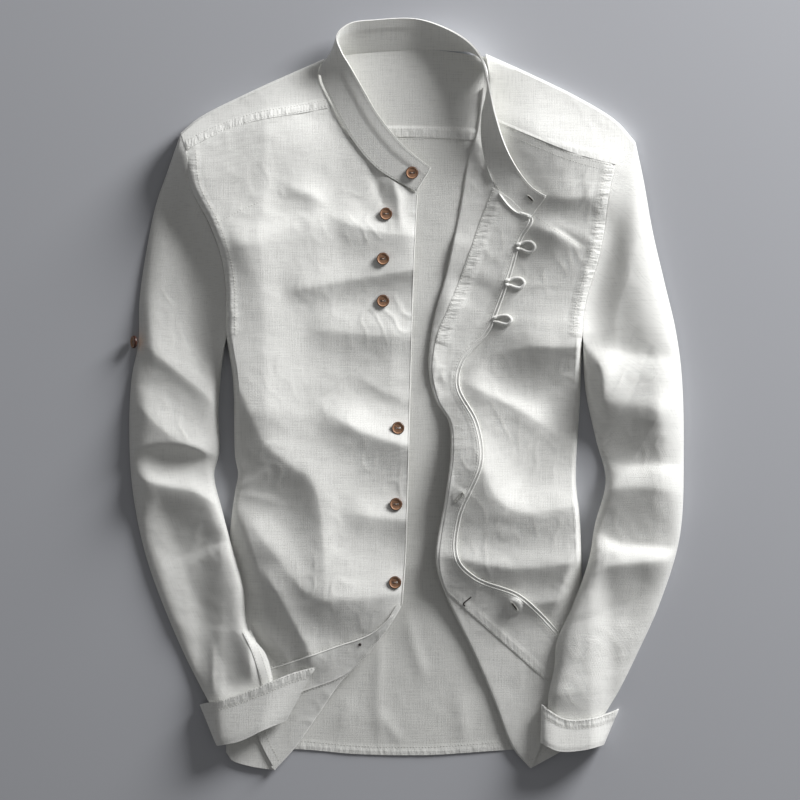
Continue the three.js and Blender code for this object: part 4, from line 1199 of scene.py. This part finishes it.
def turned_button(name, node):
    """A button on the lathe, where its solid is in plan; one on the right front lies on the folds there."""
    radius, thickness = BUTTON["radius"], BUTTON["thickness"]
    inner = radius - BUTTON["rim"]
    profile = [
        (0, 0), (radius - 1, 0), (radius - 0.3, 0.35), (radius, 1), (radius, thickness - 0.8),
        (radius - 0.3, thickness - 0.2), (radius - 0.7, thickness), (inner, thickness - 0.15),
        (inner - 0.5, thickness - BUTTON["dish"]), (0, thickness - BUTTON["dish"] - 0.1)]
    shaped = bmesh.new()
    corners = [shaped.verts.new((across * MM, 0, up * MM)) for across, up in profile]
    edges = [shaped.edges.new(pair) for pair in zip(corners, corners[1:])]
    bmesh.ops.spin(
        shaped, geom=corners + edges, cent=(0, 0, 0), axis=(0, 0, 1), angle=2 * math.pi, steps=40,
        use_merge=True)
    bmesh.ops.remove_doubles(shaped, verts=shaped.verts, dist=1e-6)
    bmesh.ops.recalc_face_normals(shaped, faces=shaped.faces)
    low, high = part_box(node)
    solid_low = low.z
    if node in ON_FRONT:
        x, y = (((low + high) / 2).xy - ZERO.xy) / MM
        high.z += (float(body_top(np.array([x]), np.array([y]))[0]) + BUTTON_REST) * MM - low.z
        low.z = high.z - thickness * MM
    # Each corner's `rim` value is its painted highlight on the rim less its painted shade on the side.
    rim = shaped.verts.layers.float.new("rim")
    for corner in shaped.verts:
        out = math.hypot(corner.co.x, corner.co.y) / MM
        painted_rim_highlight = RIM_PAINTED_HIGHLIGHT * float(ramp(out, inner - 1.2, inner + 0.2))
        corner[rim] = painted_rim_highlight - SIDE_PAINTED_SHADE * float(ramp(out, 5.3, 6.0))
    turn = Matrix.Rotation(TAB_TURN, 4, "Y") if node == "button_tab" else Matrix()
    middle = (low + high) / 2
    lying = Matrix.Translation(middle - turn @ Vector((0, 0, thickness / 2 * MM))) @ turn
    bmesh.ops.transform(shaped, matrix=lying, verts=shaped.verts)
    piece = placed(name, shaped)
    face = Matrix.Translation(middle) @ turn
    drill(piece, face)
    bar = Matrix.Diagonal((HOLE["out"] * 0.75 * MM, 0.4 * MM, 0.35 * MM, 1))
    sewn = Matrix.Translation((0, 0, (thickness / 2 - BUTTON["dish"] + 0.15) * MM))
    bmesh.ops.create_uvsphere(button_threads, u_segments=10, v_segments=6, radius=1, matrix=face @ sewn @ bar)
    print(f"{name}: {(low.z - solid_low) / MM:.1f} mm above its solid")
    return piece


for name, node in BUTTONS.items():
    dress(turned_button(name, node), wood, "buttons", node)

# %% [markdown]
# ## The plackets
#
# A placket is a doubled strip sewn along an opening. On the left front the turned-back edge shows the
# inside of its own one, on the right front the turned-up corner does. Each is a thin shell of its own that
# lies on the cloth below and stops short of its edge, so that the edge shows as two lines.

# %% Plackets
REST = 0.2
HIDDEN_BUTTONS = table("x y rise", (114, -206, 2.4), (59, -97, 0.8))
BUMP = (9, 6)
SLEEVE_PLACKET = {"rest": 0.9, "thickness": 0.6}
PLACKET_SEAM = smooth_line([
    (93, 212), (85, 191), (78, 173), (72, 154), (66, 138), (60, 121), (52, 101), (46, 86), (40, 73),
    (35, 56)])
PLACKET_TURN = smooth_line([
    (35, 56), (32.5, 30), (39, 0), (51.5, -22), (54, -50), (49, -93), (39.5, -159), (43, -180), (48, -193)])
PLACKET_LOW_SEAM = smooth_line([(48, -193), (80, -222), (112, -250), (148, -282)])
STRIP_SIDE = STRIP_EDGE[np.argmax(STRIP_EDGE[:, 0] > 129.9):]
PLACKET_EDGE = offset(STRIP_SIDE, -3)


def turned_face(side):
    """A function that tells the height of the turned-over cloth's face on a front."""
    return lambda x, y: front_face(side)(x, y) + 2 * TURN_RADIUS + CLOTH


def lay_placket(name, plan, height, thickness, node):
    """A placket's shell through points in plan, at these heights."""
    piece = net(name, at_height(plan, height), thickness=thickness)
    dress(piece, doubled, "doubled_cloth", node)
    return piece


left_line = joined(PLACKET_SEAM, PLACKET_TURN, PLACKET_LOW_SEAM)
neck_line = smooth_line([(93, 212), (106, 204), (116, 195), PLACKET_EDGE[0]])
plan = patch(
    left_line, PLACKET_EDGE, neck_line, np.array([(148, -282), PLACKET_EDGE[-1]]), EVEN(0, 1, 300),
    EVEN(0, 1, 22))
x, y = plan[..., 0], plan[..., 1]
z = turned_face("left")(x, y) + REST + SHELL
for button in HIDDEN_BUTTONS:
    z += button["rise"] * ramp(np.hypot(x - button["x"], y - button["y"]), *BUMP)
left_placket = lay_placket("left_placket", plan, z, SHELL, "placket_left")

CORNER_SEAM = smooth_line([(-8, -222), (-30, -246), (-49, -270), (-66, -280), (-91, -289), (-128, -302)])
CORNER_TOP = smooth_line([(-6, -214), (-28, -233.5), (-66, -247.5), (-109, -262.5), (-141, -273)])
plan = patch(
    np.array([CORNER_TOP[-1], CORNER_SEAM[-1]]), np.array([CORNER_TOP[0], CORNER_SEAM[0]]), CORNER_TOP[::-1],
    CORNER_SEAM[::-1], EVEN(0, 1, 20), EVEN(0, 1, 80))
z = turned_face("right")(plan[..., 0], plan[..., 1]) + REST + SHELL
right_placket = lay_placket("right_placket", plan, z, SHELL, "placket_right")

over_sleeve = seen_from_above(bpy.data.objects["right_sleeve"])
plan = patch(
    smooth_line([(-157, -232), (-148, -250), (-140, -275), (-135, -300)]),
    smooth_line([(-149, -230), (-138, -254), (-130, -279), (-126, -300)]),
    np.array([(-157, -232), (-149, -230)]), np.array([(-135, -300), (-126, -300)]), EVEN(0, 1, 40),
    EVEN(0, 1, 8))
z = over_sleeve(plan.reshape(-1, 2)).reshape(plan.shape[:2])
z = np.where(np.isfinite(z), z, np.nanmin(z)) + SLEEVE_PLACKET["rest"]
sleeve_placket_rows = [plan[:, 1], plan[:, -2]]
sleeve_placket = lay_placket("sleeve_placket", plan, z, SLEEVE_PLACKET["thickness"], "sleeve_placket_right")

# %% [markdown]
# ## Folded edges
#
# The edge of a placket is cloth folded round itself, so it is thicker and rounder than the cloth beside it.
# A thin cord along each such edge gives that roundness.

# %% Folded edges
CORD_STEP = 2.5
COLLAR_CORD_IN = 0.12  # share of a cell that the cord lies in from the collar's end


def edge_cord(name, line, top, radius):
    """A cord of folded cloth along a line, with its upper side at the height `top` gives."""
    path = along(line, EVEN(0, 1, max(24, int(length_of(line) / CORD_STEP))))
    path = np.column_stack([path, top(*path.T) - radius])
    dress(cord_along(name, path, radius, 8), doubled, "doubled_cloth")


def over(height, rest):
    """The same heights, a little higher."""
    return lambda x, y: height(x, y) + rest


over_collar = seen_from_above(collar)
collar_face = over(lambda x, y: filled(over_collar(np.column_stack([x, y]))), 0.35)
for name, end, inner in (
        ("collar_end_right", collar_points[:, 0], collar_points[:, 1]),
        ("collar_end_left", collar_points[:, -1], collar_points[:, -2])):
    edge_cord(name, end + (inner - end) * COLLAR_CORD_IN, collar_face, 0.85)
edge_cord("placket_fold", PLACKET_EDGE, over(turned_face("left"), REST + SHELL + 0.25), 0.65)
edge_cord("strip_fold", STRIP_SIDE, over(turned_face("left"), 0.45), 0.9)
edge_cord("front_fold", EDGE_RIGHT, over(front_face("right"), 0.35), 0.7)
edge_cord("corner_fold", CORNER_TOP, over(turned_face("right"), REST + SHELL + 0.3), 0.7)

# %% [markdown]
# ## The cloth loops
#
# Three narrow tubes of cloth, sewn into the placket's edge, take the chest buttons. Each is a round section
# carried along a drop-shaped path.

# %% Loops
LOOP_RADIUS = 1.6
LOOPS = table("x y reach spread", (120, 153, 14.5, 5), (109, 117, 15, 4.8), (97, 80, 14, 4.2))
over_left = seen_from_above(left_front)
for number, loop in enumerate(LOOPS, 1):
    x, y, reach, spread = loop.values()
    path = smooth_line([
        (x - 4, y + 2.2), (x + 1, y + 3.2), (x + reach * 0.4, y + spread),
        (x + reach * 0.8, y + spread * 0.85), (x + reach, y - 0.4), (x + reach * 0.75, y - spread),
        (x + reach * 0.35, y - spread * 0.85),
        (x + 1, y - 2.4), (x - 4, y - 1.6)], 8)
    path = np.column_stack([path, over_left(path) + LOOP_RADIUS])
    dress(cord_along(f"cloth_loop_{number}", path, LOOP_RADIUS), doubled, "doubled_cloth", f"loop_{number}")

# %% [markdown]
# ## Puckers beside the seams
#
# Each seam's tucks are marked on the pieces that it draws in, as wide as the band that the seam holds.

# %% Puckers
ARM_SEAM_RIGHT = SIDE_RIGHT[:np.searchsorted(-SIDE_RIGHT[:, 1], -ARM_HOLE_END)]
ARM_SEAM_LEFT = SIDE_LEFT[:np.searchsorted(-SIDE_LEFT[:, 1], -ARM_HOLE_END)]
DART_RIGHT = smooth_line([(-187, 174), (-165, 186), (-135, 200)])
DART_LEFT = smooth_line([(136, 183), (150, 173), (165, 163), (177, 156), (191, 146)])
for piece, mark, line, reach, strength in (
        (right_front, "tucks_down", ARM_SEAM_RIGHT, 12, 0.6),
        (left_front, "tucks_down", ARM_SEAM_LEFT, -14, 1.0),
        (left_placket, "tucks_down", PLACKET_SEAM, 14, 1.0),
        (left_placket, "tucks_down", PLACKET_TURN, 14, 0.2),
        (left_placket, "tucks_across", PLACKET_LOW_SEAM, 9, 0.5),
        (left_placket, "tucks_down", PLACKET_EDGE, -7, 0.25),
        (right_placket, "tucks_across", CORNER_SEAM, 9, 0.6),
        (shoulder_yoke, "tucks_across", YOKE_SEAM_RIGHT, 9, 0.9),
        (shoulder_yoke, "tucks_across", YOKE_SEAM_LEFT, 9, 0.7),
        (shoulder_yoke, "tucks_across", YOKE_BACK_SEAM, 10, 0.6),
        (back_panel, "tucks_across", BACK_HEM, 8, 0.8)):
    pucker(piece, mark, line, reach, strength)
for side in ("right", "left"):
    pucker(bpy.data.objects[f"{side}_cuff"], "tucks_across", CUFFS[side]["top"], 9, 0.9)
print(f"armhole seams: {length_of(ARM_SEAM_RIGHT):.0f} and {length_of(ARM_SEAM_LEFT):.0f} mm")

# %% [markdown]
# ## Topstitching
#
# Every seam of this shirt is stitched down from the outside, most of them twice. The rows follow the same
# lines that the pieces were cut to, moved to one side.

# %% Topstitching
thread = plain("sewing_thread", (0.72, 0.72, 0.68), 0.8)
over_fronts = seen_from_above(right_front, left_front, left_placket, right_placket)
over_yoke = seen_from_above(shoulder_yoke, back_panel, right_front, left_front)
front_stitches = stitches("front_topstitching", [
    offset(ARM_SEAM_RIGHT, 9), offset(ARM_SEAM_LEFT, -9),
    offset(PLACKET_SEAM, 1.2), offset(PLACKET_LOW_SEAM, 1.2), offset(PLACKET_EDGE, -2.2),
    offset(CORNER_SEAM, 1.2), offset(CORNER_TOP, -2), DART_RIGHT, DART_LEFT], over_fronts)
dress(front_stitches, thread, "cloth")
INNER_YOKE_ROWS = [
    smooth_line([(-12, 271), (30, 271), (80, 271)]), smooth_line([(-12, 261), (30, 260.5), (80, 260)])]
yoke_stitches = stitches("yoke_topstitching", [
    *[offset(seam, away) for seam in (YOKE_SEAM_RIGHT, YOKE_SEAM_LEFT) for away in (2, 8)],
    *INNER_YOKE_ROWS], over_yoke)
dress(yoke_stitches, thread, "cloth")
hem_stitches = stitches("hem_stitching", [offset(BACK_HEM, 8)], seen_from_above(back_panel))
dress(hem_stitches, thread, "cloth")

cuff_stitches = stitches("cuff_stitching", [
    offset(CUFFS[side]["top"], away) for side in ("right", "left") for away in (1.5, 9)],
    seen_from_above(bpy.data.objects["right_cuff"], bpy.data.objects["left_cuff"]), wide=0.7)
dress(cuff_stitches, thread, "doubled_cloth")
COLLAR_ROW_ENDS = 34  # cells of the long rows that show at each end
near_end, near_middle = 0.55, 0.45
collar_stitches = stitches("collar_stitching", [
    *[collar_points[row, :COLLAR_ROW_ENDS] for row in (1, -2)],
    *[collar_points[row, -COLLAR_ROW_ENDS - 1:] for row in (1, -2)],
    near_end * collar_points[1:-1, 0] + near_middle * collar_points[1:-1, 1],
    near_end * collar_points[1:-1, -1] + near_middle * collar_points[1:-1, -2]],
    seen_from_above(collar))
dress(collar_stitches, thread, "doubled_cloth")
sleeve_stitches = stitches("sleeve_placket_stitching", sleeve_placket_rows, seen_from_above(sleeve_placket))
dress(sleeve_stitches, thread, "doubled_cloth")
corner_stitches = stitches("turned_hem_stitching", [
    offset(CORNER_EDGE[:40], -8), offset(STRIP_HEM[:60], 8)], seen_from_above(right_front, left_front))
dress(corner_stitches, thread, "cloth")

# %% [markdown]
# ## Buttonholes
#
# A buttonhole is a slit with close stitches square to it all round. One is in the collar's end, and two are
# in the turned-back placket, where a bump stands for the button behind. The slit of the upper one of those
# two is drawn shut, so only its stitches show.

# %% Buttonholes
# This near-black finish is dark thread for the knot and the loose end, and painted shade in the buttonhole
# slits.
dark_thread_and_painted_slit_shade = plain("dark_thread_and_painted_slit_shade", (0.03, 0.02, 0.018), 0.7)
BUTTONHOLES = table(
    "x y turn long slit_shows",
    (130, 201, -45, 9, True), (114, -206, -53, 11, True), (59, -97, 50, 13, False))
RING_WIDE = 1.3
SLIT_SHARE = 0.36
SLIT_RADIUS = 0.45
over_all = seen_from_above(collar, left_placket, right_placket)
turn = EVEN(0, 2 * math.pi, 40)
rings = []
slits = []
for hole in BUTTONHOLES:
    way = math.radians(hole["turn"])
    ahead = np.array([math.cos(way), math.sin(way)])
    aside = np.array([-math.sin(way), math.cos(way)])
    middle = np.array([hole["x"], hole["y"]])
    round_it = np.outer(np.cos(turn), ahead) * hole["long"] / 2 + np.outer(np.sin(turn), aside) * RING_WIDE
    rings.append(middle + round_it)
    if hole["slit_shows"]:
        slits.append(middle + np.outer(EVEN(-SLIT_SHARE, SLIT_SHARE, 12), ahead) * hole["long"])
ring_stitches = stitches("buttonhole_stitching", rings, over_all, long=0.6, gap=0.1, wide=1.7)
dress(ring_stitches, thread, "doubled_cloth")
# A thin near-black cord along each slit that shows is painted shade of the opening.
for number, slit in enumerate(slits, 1):
    path = np.column_stack([slit, over_all(slit) + 0.25])
    dress(cord_along(f"buttonhole_slit_{number}", path, SLIT_RADIUS, 8), dark_thread_and_painted_slit_shade, "doubled_cloth")

# %% [markdown]
# ## Knot, sewing and loose thread
#
# Where a button is sewn on, the knot shows on the other side as a dark dot, on the turned-up corner. The
# bars of thread between each button's holes were made with the buttons. One thread end lies loose.

# %% Knot, sewing and loose thread
KNOT = (-40, -244)
KNOT_RADIUS = 1.5
knot_height = over_all(np.array([KNOT]))[0]
knot = bmesh.new()
bmesh.ops.create_uvsphere(
    knot, u_segments=16, v_segments=8, radius=KNOT_RADIUS * MM,
    matrix=Matrix.Translation(Vector(in_place((*KNOT, knot_height + 0.1)))) @ Matrix.Diagonal((1, 1, 0.5, 1)))
dress(placed("button_knot", knot), dark_thread_and_painted_slit_shade, "doubled_cloth")
button_thread = plain("button_thread", (0.62, 0.50, 0.43), 0.6)
dress(placed("button_sewing", button_threads), button_thread, "buttons")
thread_end = smooth_line([(71.5, -196.5), (67, -200), (63.5, -203.5), (65, -206)], 8)
path = np.column_stack([thread_end, filled(over_all(thread_end)) + 0.4])
dress(cord_along("thread_end", path, 0.55, 8), dark_thread_and_painted_slit_shade, "doubled_cloth")

# %% [markdown]
# ## The cut of each piece
#
# Every piece was a flat piece of cloth first. The areas were taken from what an earlier state of these nets
# printed, rounded, and the large pieces have changed by up to 2 % since. So they describe these pieces and
# can't show whether any of them is stretched. A real pattern would be measured flat instead.

# %% The cut of each piece
CUT = table(
    "piece width length area held rests_on",
    ("back_panel", 0.43, 0.62, 0.22, "laid", []),
    ("right_front", 0.23, 0.70, 0.123, "folded", ["back_panel"]),
    ("left_front", 0.23, 0.70, 0.122, "folded", ["back_panel"]),
    ("shoulder_yoke", 0.47, 0.16, 0.047, "folded", ["right_front", "left_front"]),
    ("right_sleeve", 0.21, 0.61, 0.095, "laid", ["right_front"]),
    ("left_sleeve", 0.21, 0.61, 0.097, "laid", ["left_front"]),
    ("right_cuff", 0.19, 0.042, 0.0075, "folded", ["right_sleeve"]),
    ("left_cuff", 0.16, 0.042, 0.0056, "folded", ["left_sleeve"]),
    ("collar", 0.46, 0.038, 0.0165, "laid", ["right_front", "left_front"]),
    ("left_placket", 0.045, 0.62, 0.0175, "laid", ["left_front"]),
    ("right_placket", 0.14, 0.036, 0.0035, "laid", ["right_front"]),
    ("sleeve_placket", 0.012, 0.08, 0.0008, "laid", ["right_sleeve"]))
for cut in CUT:
    piece = bpy.data.objects[cut["piece"]]
print(f"cloth stated: {sum(cut['area'] for cut in CUT):.2f} square metres in {len(CUT)} pieces")

# %% [markdown]
# ## The floor
#
# The shirt lies on a plain grey floor, which is only a stage and no part of it.

# %% Floor
bpy.ops.mesh.primitive_plane_add(size=6, location=(0, 0, -0.0002))
floor = bpy.context.object
floor.name = "floor"
floor.data.materials.append(plain("floor", (0.50, 0.51, 0.545), 0.9))
print("floor:", [round(value, 1) for value in floor.dimensions])

# %% [markdown]
# ## Light
#
# One large soft lamp stands low at the upper right, so that each fold has a bright side and a shaded side,
# and the sky fills in the rest. A higher lamp would flatten the folds.

# %% Light
lamp_data = bpy.data.lights.new("window", "AREA")
lamp_data.shape = "DISK"
lamp_data.size = 1.5
lamp_data.energy = 148
lamp = bpy.data.objects.new("window", lamp_data)
lamp.location = (2.14, 2.14, 1.0)
lamp.rotation_euler = (Vector((0, 0, 0)) - lamp.location).to_track_quat("-Z", "Y").to_euler()
bpy.context.collection.objects.link(lamp)
lamp_slope = math.atan2(lamp.location.z, lamp.location.xy.length)
print(f"lamp: {math.degrees(lamp_slope):.0f} degrees over the floor")

world = bpy.data.worlds.new("sky")
world.use_nodes = True
world.node_tree.nodes["Background"].inputs["Color"].default_value = (1, 1, 1, 1)
world.node_tree.nodes["Background"].inputs["Strength"].default_value = 0.15
bpy.context.scene.world = world
bpy.context.scene.view_settings.view_transform = "Standard"

# %% [markdown]
# ## Camera
#
# A long lens, high and straight above, shows the shirt as a pattern would, with hardly any perspective.

# %% Camera
CAMERA_HEIGHT = 8
camera_data = bpy.data.cameras.new("camera")
camera_data.lens = 360
camera_data.clip_end = 100
camera = bpy.data.objects.new("camera", camera_data)
camera.location = (ZERO.x, ZERO.y, CAMERA_HEIGHT)
bpy.context.collection.objects.link(camera)
bpy.context.scene.camera = camera
print(f"view: {CAMERA_HEIGHT * camera_data.sensor_width / camera_data.lens:.2f} m wide")
